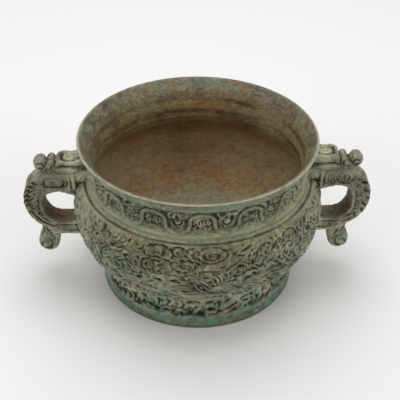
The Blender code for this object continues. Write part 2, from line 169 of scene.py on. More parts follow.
class Relief:
    """Heights over a flat pattern, in millimetres, as a grid of rows and columns."""

    def __init__(self, across, up, turn=None):
        self.across = across
        self.up = up
        self.turn = turn
        self.bend = None
        self.height = np.zeros((len(up), len(across)))

    def window(self, points, reach):
        """Rows and columns that a line can touch, the columns wrapping round a full turn."""
        low_up, high_up = points[:, 1].min() - reach, points[:, 1].max() + reach
        rows = np.nonzero((self.up >= low_up) & (self.up <= high_up))[0]
        middle = 0.5 * (points[:, 0].min() + points[:, 0].max())
        half = 0.5 * (points[:, 0].max() - points[:, 0].min()) + reach
        away = self.across - middle
        if self.turn:
            away = (away + 0.5 * self.turn) % self.turn - 0.5 * self.turn
        columns = np.nonzero(np.abs(away) <= half)[0]
        return rows, columns, middle + away[columns]

    def ridge(self, points, width, rise, taper=0.0):
        """Raises a rounded line above what is there."""
        self.stroke(points, width, rise, taper, 0.5)

    def groove(self, points, width, depth, taper=0.6):
        """Cuts a rounded line into what is there."""
        self.stroke(points, width, -depth, taper, 1.0)

    def stroke(self, points, width, rise, taper, power):
        """Adds a line, thinner at its ends; a plain list of points is first made a soft curve."""
        if isinstance(points, list):
            points = smooth_line(points)
        rows, columns, across = self.window(points, 0.5 * width)
        if not len(rows) or not len(columns):
            return
        grid_x, grid_y = np.meshgrid(across, self.up[rows])
        nearest, along = line_distance(grid_x, grid_y, points)
        thin = 1.0 - taper * np.abs(2.0 * along - 1.0) ** 2
        ratio = np.clip(nearest / (0.5 * width * thin), 0.0, 1.0)
        self.height[np.ix_(rows, columns)] += rise * thin * (1.0 - ratio * ratio) ** power

    def oval(self, centre, across, up, tilt):
        """Places about a tilted oval: their part of the way out to its edge, and distance and turn."""
        point = np.array([centre, centre], float)
        rows, columns, place_x = self.window(point, 1.4 * max(across, up))
        grid_x, grid_y = np.meshgrid(place_x - centre[0], self.up[rows] - centre[1])
        place = np.ix_(rows, columns)
        if self.bend is not None:
            grid_x = grid_x + self.bend[0][place]
            grid_y = grid_y + self.bend[1][place]
        cosine, sine = math.cos(math.radians(tilt)), math.sin(math.radians(tilt))
        along = (grid_x * cosine + grid_y * sine) / across
        aside = (grid_y * cosine - grid_x * sine) / up
        return place, np.hypot(along, aside), np.hypot(grid_x, grid_y), np.arctan2(aside, along)

    def pit(self, centre, across, up, depth, tilt=0.0):
        """A round or oval hollow, or a boss where depth is negative."""
        place, ratio = self.oval(centre, across, up, tilt)[:2]
        ratio = np.clip(ratio, 0.0, 1.0) ** 2
        self.height[place] -= depth * np.sqrt(1.0 - ratio) * (1.0 - 0.25 * ratio)

    def scroll(self, centre, across, up, rings, hand):
        """A flat oval scroll lying over what is there: thin ringed or spiral lines and a dark edge."""
        place, ratio, away, turn = self.oval(centre, across, up, 0.0)
        reach = away / np.maximum(ratio, 0.05)
        phase = ratio * rings + hand * turn / FULL_TURN * (ratio < 0.86)
        off = np.abs((phase % 1.0) - 0.5) * reach / rings
        line = np.clip(1.0 - (off / LINE_HALF) ** 2, 0.0, 1.0)
        ground = 0.30 * (1.0 - ratio ** 2)
        over = np.clip((1.0 - ratio) * reach / 0.5, 0.0, 1.0)
        edge = (ratio - 1.0) * reach - 0.45
        self.height[place] = (self.height[place] * (1.0 - over) + (ground + LINE_RISE * line) * over
                              - 1.0 * np.clip(1.0 - (edge / 0.75) ** 2, 0.0, 1.0))


def neck_at(height):
    return NECK_RADIUS + (height - NECK_WAIST) ** 2 / (2.0 * NECK_ARC)


def quarter(edge, middle, first, last, count):
    """Points round a quarter ellipse between its edge and its middle."""
    turns = np.linspace(first, last, count)
    return [(edge[0] + (middle[0] - edge[0]) * math.cos(turn),
             middle[1] + (edge[1] - middle[1]) * math.sin(turn)) for turn in turns]


def outside_profile():
    """Radius and height down the outer side, from the lip's crest to the foot's lower edge."""
    belly_edge = (100.4, BELLY_HEIGHT)
    lip = [(93.6, 133.42), (94.5, 133.3), (95.15, 132.95), (95.4, 132.4), (95.1, 131.8),
           (94.2, 131.2), (93.6, 130.6), (neck_at(129.8), 129.8)]
    neck = [(neck_at(height), height) for height in np.linspace(129.2, 98.6, 44)]
    bead = [(88.2, 97.9), (87.9, 97.3), (88.5, 96.7), (89.7, 96.2), (90.5, 95.4), (90.9, 94.5)]
    belly = quarter((89.4, 96.2), belly_edge, 1.25, 0.0, 30)
    under = quarter((79.6, FOOT_TOP), belly_edge, 0.0, QUARTER_TURN, 56)[1:]
    foot = [(FOOT_WAIST + 0.4, 34.4)] + [(FOOT_WAIST, height) for height in np.linspace(33.6, 15.4, 27)]
    flange = [(77.7, 14.4), (78.4, 13.2), (79.2, 12.0), (79.9, 10.8), (FLANGE_RADIUS, 9.6)]
    flange += [(FLANGE_RADIUS - 0.25 * math.sin(math.pi * (height - 1.4) / 8.0), height)
               for height in np.linspace(8.8, 1.2, 11)]
    flange += [(79.9, 0.5), (79.2, 0.05)]
    return lip + neck + bead + belly + under + foot + flange


def inside_profile():
    """From the middle of the bowl's floor up to the lip's crest."""
    floor = [(radius, BOWL_FLOOR) for radius in np.linspace(0.0, 42.0, 11)]
    wall = quarter((45.0, BOWL_FLOOR), (BOWL_RADIUS, BELLY_HEIGHT), QUARTER_TURN, 0.0, 26)
    foot, top = BELLY_HEIGHT + 2.0, 102.0
    shoulder = [(BOWL_RADIUS - (BOWL_RADIUS - THROAT) * ease(foot, top, height), height)
                for height in np.linspace(foot, top, 14)]
    throat = [(THROAT, 105.0), (THROAT, 108.0), (THROAT + 0.15, 111.5), (THROAT + 0.6, 115.0),
              (THROAT + 1.4, 119.0), (THROAT + 2.9, 123.0), (THROAT + 5.0, 126.6), (THROAT + 7.2, 129.6),
              (91.9, 131.6), (92.4, 132.6), (92.9, 133.2)]
    return floor + wall + shoulder + throat


def underneath_profile():
    """From the foot's lower edge in under the bowl to the axis."""
    ring = [(78.2, 0.0), (76.0, 0.0), (75.2, 0.6), (75.0, 6.0), (74.8, 12.0), (74.4, 18.0), (73.6, 23.0),
            (71.0, 27.0), (66.0, 29.3)]
    return ring + [(radius, FOOT_RECESS) for radius in (50.0, 30.0, 12.0, 0.0)]


# Arc length up the outer side against height, used by every pattern on the vessel
HEIGHTS = [0, 12, 24, 34, 36, 42, 54, 72, 90, 95, 97.5, 103, 110, 122, 130, 133.5]
ARC_UP = [0, 12.1, 24.2, 34.5, 37.4, 48.3, 62.6, 80.9, 100.3, 107.2, 111.1, 116.6, 123.6, 135.8,
          144.7, 149.2]


def punched(relief, count, centre, *ranges):
    """Small pits about a place: the ranges of their two offsets, two half sizes, depth and tilt."""
    for mark in range(count):
        across, up, *rest = [between(*limits) for limits in ranges]
        relief.pit((centre[0] + across, centre[1] + up), *rest)


def ribbon_gap(relief):
    """Distance from each place of the neck to the ribbon that snakes round it in arches and cups."""
    cell = relief.turn / RIBBON_CELLS
    sweep = np.linspace(-QUARTER_TURN, QUARTER_TURN, 27)
    across = 0.25 * cell * np.sign(sweep) * np.abs(np.sin(sweep)) ** 0.86
    tall = RIBBON_TALL * np.abs(np.cos(sweep)) ** 0.86
    line = np.concatenate([np.stack([across - 0.5 * cell, -tall], 1), np.stack([across, tall], 1)[1:],
                           np.stack([across + 0.5 * cell, -tall], 1)[1:]])
    start = math.radians(RIBBON_START) * NECK_UNROLL
    local = (relief.across - start + 0.5 * cell) % cell - 0.5 * cell
    grid_x, grid_y = np.meshgrid(local, relief.up - RIBBON_MIDDLE)
    return line_distance(grid_x, grid_y, line)[0]


def arch_curls(relief, x, hand, layout):
    """What fills one arch of the neck's ribbon: a scroll with its tail, small curls and punch marks."""
    ridge, pit = relief.ridge, relief.pit
    middle = (x + between(-1.4, 1.4), 125.6 + between(-0.9, 0.9))
    if layout == 0:
        ridge(spiral_line(middle, 0.8, 5.0, 1.7, between(0, 360), hand, 0.9), 1.5, 1.2)
        ridge(beside(x, hand, -5.4, 115.4, -2.4, 119.0, 2.4, 117.2, 5.6, 120.4), 1.5, 1.1, 0.4)
        ridge(beside(x, hand, 0.8, 114.2, 3.4, 116.0, 6.8, 115.0), 1.3, 0.9)
    elif layout == 1:
        ridge(beside(x, hand, -6.2, 117.2, -5.0, 124.4, -1.0, 128.6, 3.6, 127.0, 3.4, 122.6,
                     0.0, 121.6), 1.6, 1.2, 0.3)
        ridge(beside(x, hand, -3.0, 115.0, 0.4, 118.2, 5.6, 117.4, 6.6, 122.4), 1.5, 1.1, 0.4)
        pit(middle, 1.7, 1.4, -1.1)
    else:
        for side in (-1.0, 1.0):
            ridge(spiral_line((x + 3.1 * side, 124.2), 0.7, 3.0, 1.3, 90.0, side), 1.3, 1.1)
        ridge(beside(x, 1.0, -5.8, 128.4, -2.0, 130.6, 2.4, 129.6, 5.6, 130.4), 1.4, 1.0)
        ridge(beside(x, hand, -6.0, 116.0, -1.0, 119.2, 5.8, 115.8), 1.5, 1.1)
    punched(relief, 6, (x, 124.0), (-6.4, 6.4), (-7.4, 6.4), (1.0, 1.8), (0.8, 1.3), (1.2, 1.9), (0, 180))


def cup_curls(relief, x, hand, layout):
    """What fills one cup of the ribbon: a ringed pearl or a scroll, under two small leaves."""
    ridge, groove, pit = relief.ridge, relief.groove, relief.pit
    up = 124.6 + between(-0.9, 0.9)
    if layout < 2:
        size = between(2.3, 3.0)
        pit((x, up), size, 0.92 * size, -1.4)
        groove(arc_line((x, up), size + 0.4, size + 0.2, 0, 360), 0.9, 0.6, 0.0)
        ridge(arc_line((x, up), size + 2.0, size + 1.8, -200 + 30 * layout, 20), 1.4, 1.1)
    else:
        ridge(spiral_line((x, up), 0.8, 4.6, 1.5, between(0, 360), hand, 0.94), 1.5, 1.2)
    ridge(beside(x, 1.0, -7.0, 132.4, -4.4, 129.6, -1.0, 131.8), 1.4, 1.1)
    ridge(beside(x, 1.0, 0.6, 133.2, 3.4, 129.8, 7.2, 131.6), 1.4, 1.1)
    ridge(beside(x, hand, -5.0, 121.0, -3.2, 117.6, 1.0, 118.4), 1.3, 0.9)
    punched(relief, 5, (x, 126.0), (-6.0, 6.0), (-7.0, 6.4), (1.0, 1.6), (0.8, 1.2), (1.1, 1.7), (0, 180))


def carve_frieze(relief):
    """Neck: a ribbon in arches and cups, with scrolls, curls and pearls between."""
    relief.height -= 0.50 * (ease(113.4, 114.4, relief.up) * (1.0 - ease(134.8, 135.8, relief.up)))[:, None]
    rows = 30
    sway = slow_noise((rows, FLOW_COLUMNS), ((46, 1.0), (90, 0.6)), 41, 24.0 / relief.turn)

    def lean_at(x, up):
        """Direction of the small filling strokes: they turn every way."""
        row = int((up - 112.0) / 26.0 * (rows - 1))
        return 1.5 * sway[row, int(x % relief.turn / relief.turn * FLOW_COLUMNS) % FLOW_COLUMNS]

    for line in combed_lines(relief, 114.2, 135.2, 2.3, lean_at):
        relief.ridge(line[:9], between(1.4, 1.9), between(0.8, 1.2), 0.4)
    for half_cell in range(2 * RIBBON_CELLS):
        x = math.radians(12.0 * half_cell + RIBBON_START) * NECK_UNROLL
        fill = cup_curls if half_cell % 2 else arch_curls
        fill(relief, x, RANDOM.choice((-1.0, 1.0)), RANDOM.randrange(3))
    relief.height = np.minimum(relief.height, 1.15)
    nearest = ribbon_gap(relief)
    band = 1.35 * np.sqrt(np.clip(1.0 - (nearest / RIBBON_HALF) ** 4, 0.0, 1.0))
    relief.height = np.where(nearest < RIBBON_HALF, np.maximum(band, 0.15), relief.height)
    relief.height -= 0.95 * np.clip(1.0 - ((nearest - RIBBON_HALF - 0.45) / 0.6) ** 2, 0.0, 1.0)
    relief.height -= 0.75 * np.clip(1.0 - (nearest / 0.5) ** 2, 0.0, 1.0)
    # Deep shadowed cuts where the ribbon's arches meet the plain band
    for first, last, up in TOP_CUTS:
        for turned in (0.0, 144.0, 216.0):
            relief.groove(unrolled([(first + turned, up - 0.3), (0.5 * (first + last) + turned, up + 0.5),
                                    (last + turned, up - 0.3)], NECK_UNROLL), 1.9, 1.6)


# First and last angle and arc height of each cut along the frieze's upper edge
TOP_CUTS = [(-60, -57, 130.5), (-54.5, -51.5, 136.5), (-49, -44.5, 135.6), (-33, -30, 134.4),
            (-28, -24, 134.6), (-23.5, -20.2, 134.6), (-19, -17, 136.2), (-16.5, -13.5, 136.0),
            (-12, -7, 134.6), (-4.5, 2, 134.8), (4.8, 7.4, 135.8), (9, 11.2, 135.8), (13, 17, 134.6),
            (19.6, 26, 135.4), (29, 34, 135.0), (37.5, 40.5, 134.2), (42, 45, 135.4), (45.5, 50, 136.4),
            (56, 60, 134.5)]

# Cloud scrolls on the belly's front: angle, arc height, half width, half height, turns, hand
CLOUDS = [(4.5, 99.6, 10.5, 5.8, 2.4, 1.0), (-19.0, 98.2, 11.0, 6.0, 2.2, -1.0),
          (-8.0, 89.6, 9.0, 4.6, 1.9, 1.0), (15.5, 82.0, 6.0, 4.0, 1.6, 1.0),
          (-24.0, 87.0, 4.6, 4.6, 1.7, 1.0), (43.0, 97.4, 6.0, 4.6, 1.8, -1.0)]

# Raised folds and feathers on the belly's front: width, then pairs of angle and arc height
FOLDS = [(1.9, -28, 96.5, -25.5, 102.2, -17, 105, -9.5, 102.4, -3, 104, 5, 105.8, 12.5, 102.6, 14.5, 98),
         (1.8, -13, 98.6, -10.4, 101, -8.4, 98.6, -6, 96.6, -3.4, 99.4),
         (1.7, -11.6, 95, -8.4, 96.2, -5.4, 94.2, -2.6, 95.6), (3.4, 21.5, 88, 21.8, 94, 24, 99.5),
         (3.0, 24.2, 86.5, 25, 92, 26.6, 97.5), (5.2, 28, 89, 27.6, 94, 30.5, 99.5),
         (2.6, 31, 89.5, 33.5, 94, 37, 99.5), (2.6, 35.5, 94, 39.5, 98.5, 43.5, 101.8),
         (2.6, -50.5, 81, -48, 85.5, -45.8, 90), (2.2, -48.6, 80, -46, 85, -43.5, 88),
         (2.6, -40.5, 79.5, -36.5, 84, -32.5, 89.5), (2.0, -42, 92.5, -38, 94.6, -34, 94.8),
         (1.8, -43, 95, -39.5, 96.6, -36, 96.6), (5.4, -45, 86.5, -41, 90.5, -37.5, 91),
         (2.0, -32, 72.5, -28.5, 74.5, -26, 73.6), (2.2, -38, 76, -35, 75.5, -32, 72),
         (2.2, -12.8, 96, -6, 97, 0.6, 92.5, 0, 88), (1.8, -10.5, 92, -6, 93, -2, 90),
         (2.0, -29.5, 90, -30.2, 86, -27, 83), (2.0, -31.2, 93, -33, 88, -30.5, 83),
         (2.2, 13, 88.5, 17, 89.5, 20.5, 86.5), (2.2, 0.5, 83, 6, 83.5, 11.5, 86.5),
         (2.2, -24, 83, -19, 81.5, -14, 83.2), (2.2, 44, 88.4, 46.5, 92.5, 50, 98),
         (2.2, 30, 75, 35, 78, 40, 80.6), (2.0, 2, 72.2, 7, 73, 12, 76.6), (2.6, -64, 83, -60, 86, -58, 92),
         (2.6, 54, 83, 58, 85, 62, 82)]

# Dark cuts on the belly's front: width and depth, then pairs of angle and arc height
CUTS = [(1.8, 1.2, -25.5, 101, -19, 105.2, -12.5, 101.5), (1.9, 1.5, -25, 94.3, -19, 95.4, -12, 91.8),
        (1.7, 1.3, -8, 93.8, -3.5, 94.2, 0.3, 89.8), (1.8, 1.4, -34.2, 100.5, -33, 103.2),
        (2.0, 1.4, -30.6, 103, -29, 100.5), (1.7, 1.5, -46, 100.2, -44.4, 99.6, -44.6, 96.6),
        (2.0, 1.5, -60, 99.6, -58.4, 97), (2.2, 1.6, -67.5, 98.6, -64.5, 94.6),
        (2.2, 1.4, -53.4, 91, -51.2, 94.4), (2.2, 1.5, -28.8, 92, -27.8, 89),
        (2.0, 1.3, -36, 89.8, -33.4, 88.4), (2.6, 2.0, -33, 80, -31.6, 76.4, -30, 74.2),
        (3.6, 2.4, -43.4, 75, -42.4, 71.6), (3.4, 2.2, -47, 68.6, -45.8, 64.4),
        (2.2, 1.8, -37, 74, -33.6, 71.4, -31, 69.2), (2.6, 1.8, -37.8, 68, -34.8, 63.8),
        (2.0, 1.5, -29.6, 70.8, -25.8, 72.6), (2.2, 1.6, -27.6, 82.6, -27, 80.4),
        (2.0, 1.4, -27.2, 77.4, -26.4, 74.8), (2.8, 2.0, -20.8, 74.8, -17, 73.4),
        (3.0, 2.2, -14.2, 74.2, -9.2, 74.6), (2.0, 1.4, -20.2, 81, -19.8, 79),
        (3.2, 2.0, -25.2, 63.4, -20, 62), (3.2, 2.2, -13.2, 62.4, -10, 62.2),
        (2.2, 1.5, -28.4, 65.4, -26.6, 64.2), (3.0, 2.0, -59, 88, -58.8, 82),
        (2.4, 1.5, -57, 83.6, -54.8, 83.2), (2.4, 1.6, -54.6, 75.4, -53, 78),
        (2.6, 1.6, -62.5, 76, -60.5, 74), (2.0, 1.6, 16.4, 99.4, 19.4, 99.8, 23, 102.6),
        (1.6, 1.2, 13.4, 98.4, 16.6, 96.4, 19, 96), (1.9, 1.8, 24.6, 90.4, 25.2, 96, 27.4, 99.8),
        (2.2, 1.9, 31.6, 91, 34.2, 96, 36, 99), (1.9, 1.6, 38.8, 98.2, 41, 100.6, 43.4, 102.8),
        (2.8, 1.9, 21.2, 89, 22.6, 88, 22.2, 85.6), (2.2, 1.8, 26.8, 84.8, 29.6, 88.2),
        (1.6, 1.2, 33, 85, 29.5, 84), (2.6, 1.7, 35.2, 84.6, 36.2, 81.4),
        (2.0, 1.4, 40.2, 92.4, 39.2, 89.8), (2.4, 1.6, 40.4, 85, 41.2, 83),
        (2.6, 1.6, 46, 85.8, 47.4, 83.6), (4.4, 2.4, 55, 91.4, 58.6, 89.6),
        (2.4, 1.5, 56.8, 94.4, 58.4, 93.6), (2.2, 1.4, 60.6, 94.4, 63.4, 93.4),
        (2.4, 2.0, 3.2, 69.8, 5.6, 70.4, 8, 71.2), (2.2, 2.0, 10.6, 72.8, 13.6, 74.4, 15.6, 74.6),
        (2.6, 2.2, 26.4, 65.4, 28.6, 67.6, 31.4, 68.8), (1.8, 1.4, 0, 79.8, 3.4, 78.6),
        (2.0, 1.4, 2.2, 75.2, 3.8, 74.6), (3.0, 1.8, 46, 74, 48.4, 72), (2.8, 1.8, 51, 75.4, 52, 72.4),
        (3.4, 2.0, 54.4, 70.4, 57, 67.8), (2.8, 2.0, 14.2, 58, 15, 54), (3.0, 2.0, 17, 43.4, 17.6, 40.6),
        (3.0, 1.9, 41, 63, 42.8, 59.4), (3.2, 1.9, 57.6, 57.2, 60, 53.4),
        (1.6, 1.2, -1.2, 84.6, 2.6, 85.6, 6, 85.4)]

# Small round punch marks on the belly's front: angle, arc height, radius
PITS = [(-57.8, 102.6, 1.0), (-53.4, 103, 1.1), (-40, 103.4, 0.8), (-38.2, 101.6, 0.8), (18.6, 104.2, 1.0),
        (35.8, 102.4, 1.1), (10.4, 80.6, 1.2), (14.6, 79.4, 1.3), (18.2, 80, 1.1), (20.6, 81.4, 1.2),
        (23, 76.6, 1.4), (21.4, 67.8, 1.3), (26.8, 82.6, 1.2), (30, 82.6, 1.1), (-24, 88, 0.9),
        (-5.4, 77.6, 1.1), (24.6, 82.8, 0.9), (29, 79, 1.0), (-14.6, 99, 0.8), (-18.6, 99.6, 0.8),
        (16.6, 92, 0.9), (9.4, 76.6, 0.9), (-16.6, 69, 1.0), (-40.2, 80.6, 0.9)]


def combed_lines(relief, low, high, spacing, lean_at):
    """Raised strokes that follow a flow, evenly spaced, each stopped where it would meet another."""
    cell = 0.5 * spacing
    taken, lines = {}, []

    def cell_of(x, up):
        return int(x % relief.turn / cell), int(up / cell)

    def near(x, up, own):
        column, row = cell_of(x, up)
        for step_x in (-2, -1, 0, 1, 2):
            for step_up in (-2, -1, 0, 1, 2):
                for other_x, other_up, owner in taken.get((column + step_x, row + step_up), ()):
                    away = (x - other_x + 0.5 * relief.turn) % relief.turn - 0.5 * relief.turn
                    if owner != own and away * away + (up - other_up) ** 2 < spacing * spacing:
                        return True
        return False

    for number in range(STROKE_TRIES):
        start_x, start_up = between(0.0, relief.turn), between(low, high)
        if near(start_x, start_up, number):
            continue
        longest = between(4.0, 13.0)
        halves = []
        for way in (-1.0, 1.0):
            x, up, gone, half = start_x, start_up, 0.0, []
            while gone < longest:
                lean = lean_at(x, up)
                x, up = x + way * LINE_STEP * math.cos(lean), up + way * LINE_STEP * math.sin(lean)
                gone += LINE_STEP
                if not low < up < high or near(x, up, number):
                    break
                half.append((x, up))
            halves.append(half)
        line = halves[0][::-1] + [(start_x, start_up)] + halves[1]
        if len(line) < 4:
            continue
        for x, up in line:
            taken.setdefault(cell_of(x, up), []).append((x, up, number))
        lines.append(np.array(line))
    return lines


def carve_belly(relief):
    """Belly: combed strokes like rolling waves, with scrolls, folds and dark cuts among them."""
    aspect = abs(relief.up[-1] - relief.up[0]) / relief.turn
    rows = 90
    sway = 66.0 * slow_noise((rows, FLOW_COLUMNS), ((30, 1.0), (74, 0.7)), 31, aspect)
    lowest, highest = relief.up.min(), relief.up.max()

    def lean_at(x, up):
        """Direction of the strokes: level in front, rising towards the sides, swaying everywhere."""
        row = int((up - lowest) / (highest - lowest) * (rows - 1))
        column = int(x % relief.turn / relief.turn * FLOW_COLUMNS) % FLOW_COLUMNS
        side = math.sin(math.radians(2.0 * (math.degrees(x / BELLY_UNROLL) % 180.0)))
        calm = 0.45 + 0.55 * ease(64.0, 84.0, up)
        return math.radians(calm * sway[row, column] - 34.0 * side)

    for line in combed_lines(relief, 40.0, 106.0, 2.2, lean_at):
        relief.ridge(line, between(1.3, 1.9), between(0.6, 1.4), 0.5)
    relief.bend = [share * slow_noise(relief.height.shape, ((44, 1.0), (96, 0.5)), seed, aspect)
                   for share, seed in ((0.8, 21), (0.5, 22))]
    scattered = []
    for number in range(5):
        across = between(4.0, 6.0)
        tall = across * between(0.55, 0.8)
        scattered.append((between(0.0, 360.0), between(66.0, 102.0), across, tall, tall / 2.3,
                          RANDOM.choice((-1.0, 1.0))))
    for turn, up, across, tall, rings, hand in scattered + CLOUDS:
        for centre, way in zip(both_faces((turn, up), BELLY_UNROLL), (hand, -hand)):
            relief.scroll(centre[0], across, min(tall, max(107.5 - up, 2.5)), rings, way)
    relief.bend = None
    for width, *numbers in FOLDS:
        for line in both_faces(numbers, BELLY_UNROLL):
            relief.groove(line, width + 1.5, 0.8, 0.3)
            relief.ridge(line, 0.72 * width, 1.3, 0.5)
    for width, depth, *numbers in CUTS:
        for line in both_faces(numbers, BELLY_UNROLL):
            relief.groove(line, 1.1 * width, 1.4 * depth, 0.6)
    for turn, up, size in PITS:
        for place in both_faces((turn, up), BELLY_UNROLL):
            relief.pit(place[0], size, size, 1.5)


# Leaves round the foot's front: width, then pairs of angle and arc height
LEAVES = [(3.2, -48, 13, -46, 20, -41, 23, -38.5, 20), (2.6, -38, 14, -36.4, 19, -37, 24),
          (2.4, -33.4, 13, -31.6, 15, -28.4, 14.4), (2.8, -33, 18, -31, 22, -32, 27),
          (2.6, -28.6, 17, -26.4, 20.6, -28, 25), (2.4, -24, 13, -22, 16, -18.6, 16.4),
          (2.6, -22.6, 20, -20.4, 24, -21.6, 28), (2.6, -18.6, 20, -16, 24.6, -17, 28.4),
          (2.6, -14.6, 14, -12, 17.4, -9, 16), (2.6, -13.6, 20, -11.4, 23, -12.6, 27),
          (2.4, -9.4, 19, -7.4, 22.6, -4, 23), (2.6, -4, 14, -2, 18, 0.6, 20.6),
          (2.4, 2.4, 13.4, 4.4, 16, 8.6, 15.6), (2.6, 2.6, 20.6, 4.8, 22.8, 8.4, 22),
          (2.4, 10, 13.8, 14.6, 14.6, 21, 18.6, 23, 22.6), (4.4, 12, 18, 16, 21, 20.4, 25.6),
          (2.6, 24.4, 14, 27, 17, 25.6, 20.6), (2.4, 29, 20.6, 29.4, 24, 27.6, 27.4),
          (2.6, 32.6, 14.4, 34, 18.6, 32.6, 23), (2.6, 37.6, 14.6, 39, 18.6, 38, 23),
          (3.0, 43, 15, 45.4, 19.6, 43.6, 25), (3.2, 53.6, 15, 56.6, 19.6, 54.4, 25.6),
          (3.0, -56, 15, -53, 20, -55, 25), (3.0, -65, 15, -62, 20, -64, 25), (3.0, 62, 15, 65, 20, 63, 25),
          (3.0, 71, 15, 74, 20, 72, 25)]

# Dark hollows between the foot's leaves: width and depth, then pairs of angle and arc height
LEAF_GAPS = [(2.6, 2.0, -48, 18.4, -46.4, 15.6, -45.4, 13), (3.4, 2.2, -35.6, 24, -33.6, 22),
             (2.6, 1.8, -35.4, 18, -34.6, 15.6), (2.2, 1.6, -31.6, 16.8, -28.4, 16.2),
             (3.0, 2.2, -29.2, 28.6, -27.2, 27), (2.8, 2.1, -25.6, 24.6, -23.2, 22.8),
             (2.2, 1.8, -22, 15.6, -18, 15.8), (3.2, 2.3, -15.4, 29, -12.8, 28.2),
             (2.8, 2.2, -8, 25.6, -4, 26.2, -0.6, 25.8), (2.6, 2.0, 3.6, 25.4, 7.4, 25.8),
             (2.4, 1.8, 4.2, 18.2, 8.4, 18.2), (2.6, 2.0, 10.2, 24.2, 12.2, 23.6),
             (1.8, 1.6, 14.6, 16.2, 19.6, 18, 22.2, 21.4), (2.8, 2.2, 24.4, 23, 28.8, 25.6),
             (2.6, 1.9, 26.4, 19.4, 29.6, 20), (2.4, 1.8, 30.4, 24.4, 32, 24),
             (2.6, 2.0, 34, 26.8, 35.4, 25), (2.6, 1.9, 35.6, 20, 36.8, 16.6),
             (3.0, 2.1, 40.6, 23.6, 41.4, 20.4), (4.0, 2.6, 49.6, 22, 51, 17),
             (2.4, 1.8, -61.6, 20.4, -58, 22), (2.0, 1.2, -55, 13, -53, 12.6),
             (2.4, 1.7, 17.6, 32, 20, 31.4), (2.2, 1.4, 54.6, 14, 57, 12.8), (3.0, 2.0, 58.6, 22, 60, 17),
             (3.0, 2.0, 67.4, 22, 68.4, 17), (1.8, 1.2, -40.6, 28.4, -44, 28.4),
             (3.0, 2.0, -69.4, 22, -68, 17)]


def carve_foot(relief):
    """Foot: a row of curled leaves that fills the waist, with dark hollows between them."""
    relief.height += 0.55
    for width, *numbers in LEAVES:
        for line in both_faces(numbers, FOOT_UNROLL):
            relief.groove(line, 1.5 * width + 1.6, 0.7, 0.3)
            relief.ridge(line, 1.45 * width, 1.45, 0.45)
            relief.groove(line, 0.7, 0.5, 0.3)
            relief.pit(line[-1], 0.9 * width, 0.8 * width, -0.7)
    for number in range(120):
        middle = np.array([between(0.0, relief.turn), between(13.0, 30.0)])
        lean = math.radians(between(20.0, 110.0))
        half = between(1.8, 3.4)
        reach = np.array([half * math.cos(lean), half * math.sin(lean)])
        bow = np.array([-reach[1], reach[0]]) * between(-0.5, 0.5)
        relief.ridge([middle - reach, middle + bow, middle + reach], between(1.5, 2.2),
                     between(0.5, 0.9), 0.4)
    for width, depth, *numbers in LEAF_GAPS:
        for line in both_faces(numbers, FOOT_UNROLL):
            relief.groove(line, 1.35 * width, 1.4 * depth, 0.5)
    punched(relief, 70, (0.0, 0.0), (0.0, relief.turn), (14.0, 29.0), (1.0, 1.8), (0.7, 1.2), (1.2, 2.0),
            (20.0, 110.0))


def modified(piece, kind, **settings):
    """The piece with a modifier of that kind set up and applied."""
    bpy.context.view_layer.objects.active = piece
    added = piece.modifiers.new(kind.lower(), kind)
    for name, value in settings.items():
        setattr(added, name, value)
    bpy.ops.object.modifier_apply(modifier=added.name)
    return piece


def named(name):
    """The piece just made, under its name and no longer selected."""
    piece = bpy.context.active_object
    piece.name = name
    piece.select_set(False)
    return piece


def spun(points, name, columns):
    """A chain of radius and height points turned round the axis; each column follows the last."""
    bpy.ops.mesh.primitive_circle_add(vertices=len(points), radius=0.1, location=(0.0, 0.0, 0.0))
    chain = named(name)
    shape = bmesh.new()
    shape.from_mesh(chain.data)
    shape.verts.ensure_lookup_table()
    for vertex, (radius, height) in zip(shape.verts, points):
        vertex.co = (radius * MM, 0.0, height * MM)
    ends = {shape.verts[0], shape.verts[len(points) - 1]}
    bmesh.ops.delete(shape, geom=[edge for edge in shape.edges if set(edge.verts) == ends],
                     context="EDGES_FACES")
    shape.to_mesh(chain.data)
    shape.free()
    return modified(chain, "SCREW", axis="Z", angle=FULL_TURN, steps=columns, render_steps=columns,
                    use_merge_vertices=False)


def closed(piece):
    """Merges what meets at the axis and turns the faces outwards."""
    bpy.context.view_layer.objects.active = piece
    piece.select_set(True)
    bpy.ops.object.mode_set(mode="EDIT")
    bpy.ops.mesh.select_mode(type="VERT")
    bpy.ops.mesh.select_all(action="SELECT")
    bpy.ops.mesh.remove_doubles(threshold=0.00001)
    bpy.ops.mesh.normals_make_consistent(inside=False)
    bpy.ops.object.mode_set(mode="OBJECT")
    piece.select_set(False)
    return piece


def vertex_values(mesh, what="co"):
    flat = np.empty(len(mesh.vertices) * 3, np.float32)
    mesh.vertices.foreach_get(what, flat)
    return flat.reshape(-1, 3).astype(float)


def put_places(mesh, points):
    mesh.vertices.foreach_set("co", np.asarray(points, np.float32).ravel())
    mesh.update()


def slow_noise(shape, cells, seed, aspect):
    """A soft random field over a grid that closes on itself sideways; aspect is its height to width."""
    dice = np.random.default_rng(seed)
    rows, columns = shape
    total = np.zeros(shape)
    for count, weight in cells:
        down = int(count * aspect) + 4
        coarse = dice.standard_normal((down, count))
        coarse = np.concatenate([coarse, coarse[:, :1]], 1)
        row_at = np.linspace(0, down - 1.001, rows)
        column_at = np.linspace(0, count - 0.001, columns)
        row_low, column_low = row_at.astype(int), column_at.astype(int)
        row_part = ease(0, 1, row_at - row_low)[:, None]
        column_part = ease(0, 1, column_at - column_low)[None, :]
        blend = coarse[row_low] * (1 - row_part) + coarse[row_low + 1] * row_part
        total += weight * (blend[:, column_low] * (1 - column_part) + blend[:, column_low + 1] * column_part)
    return total


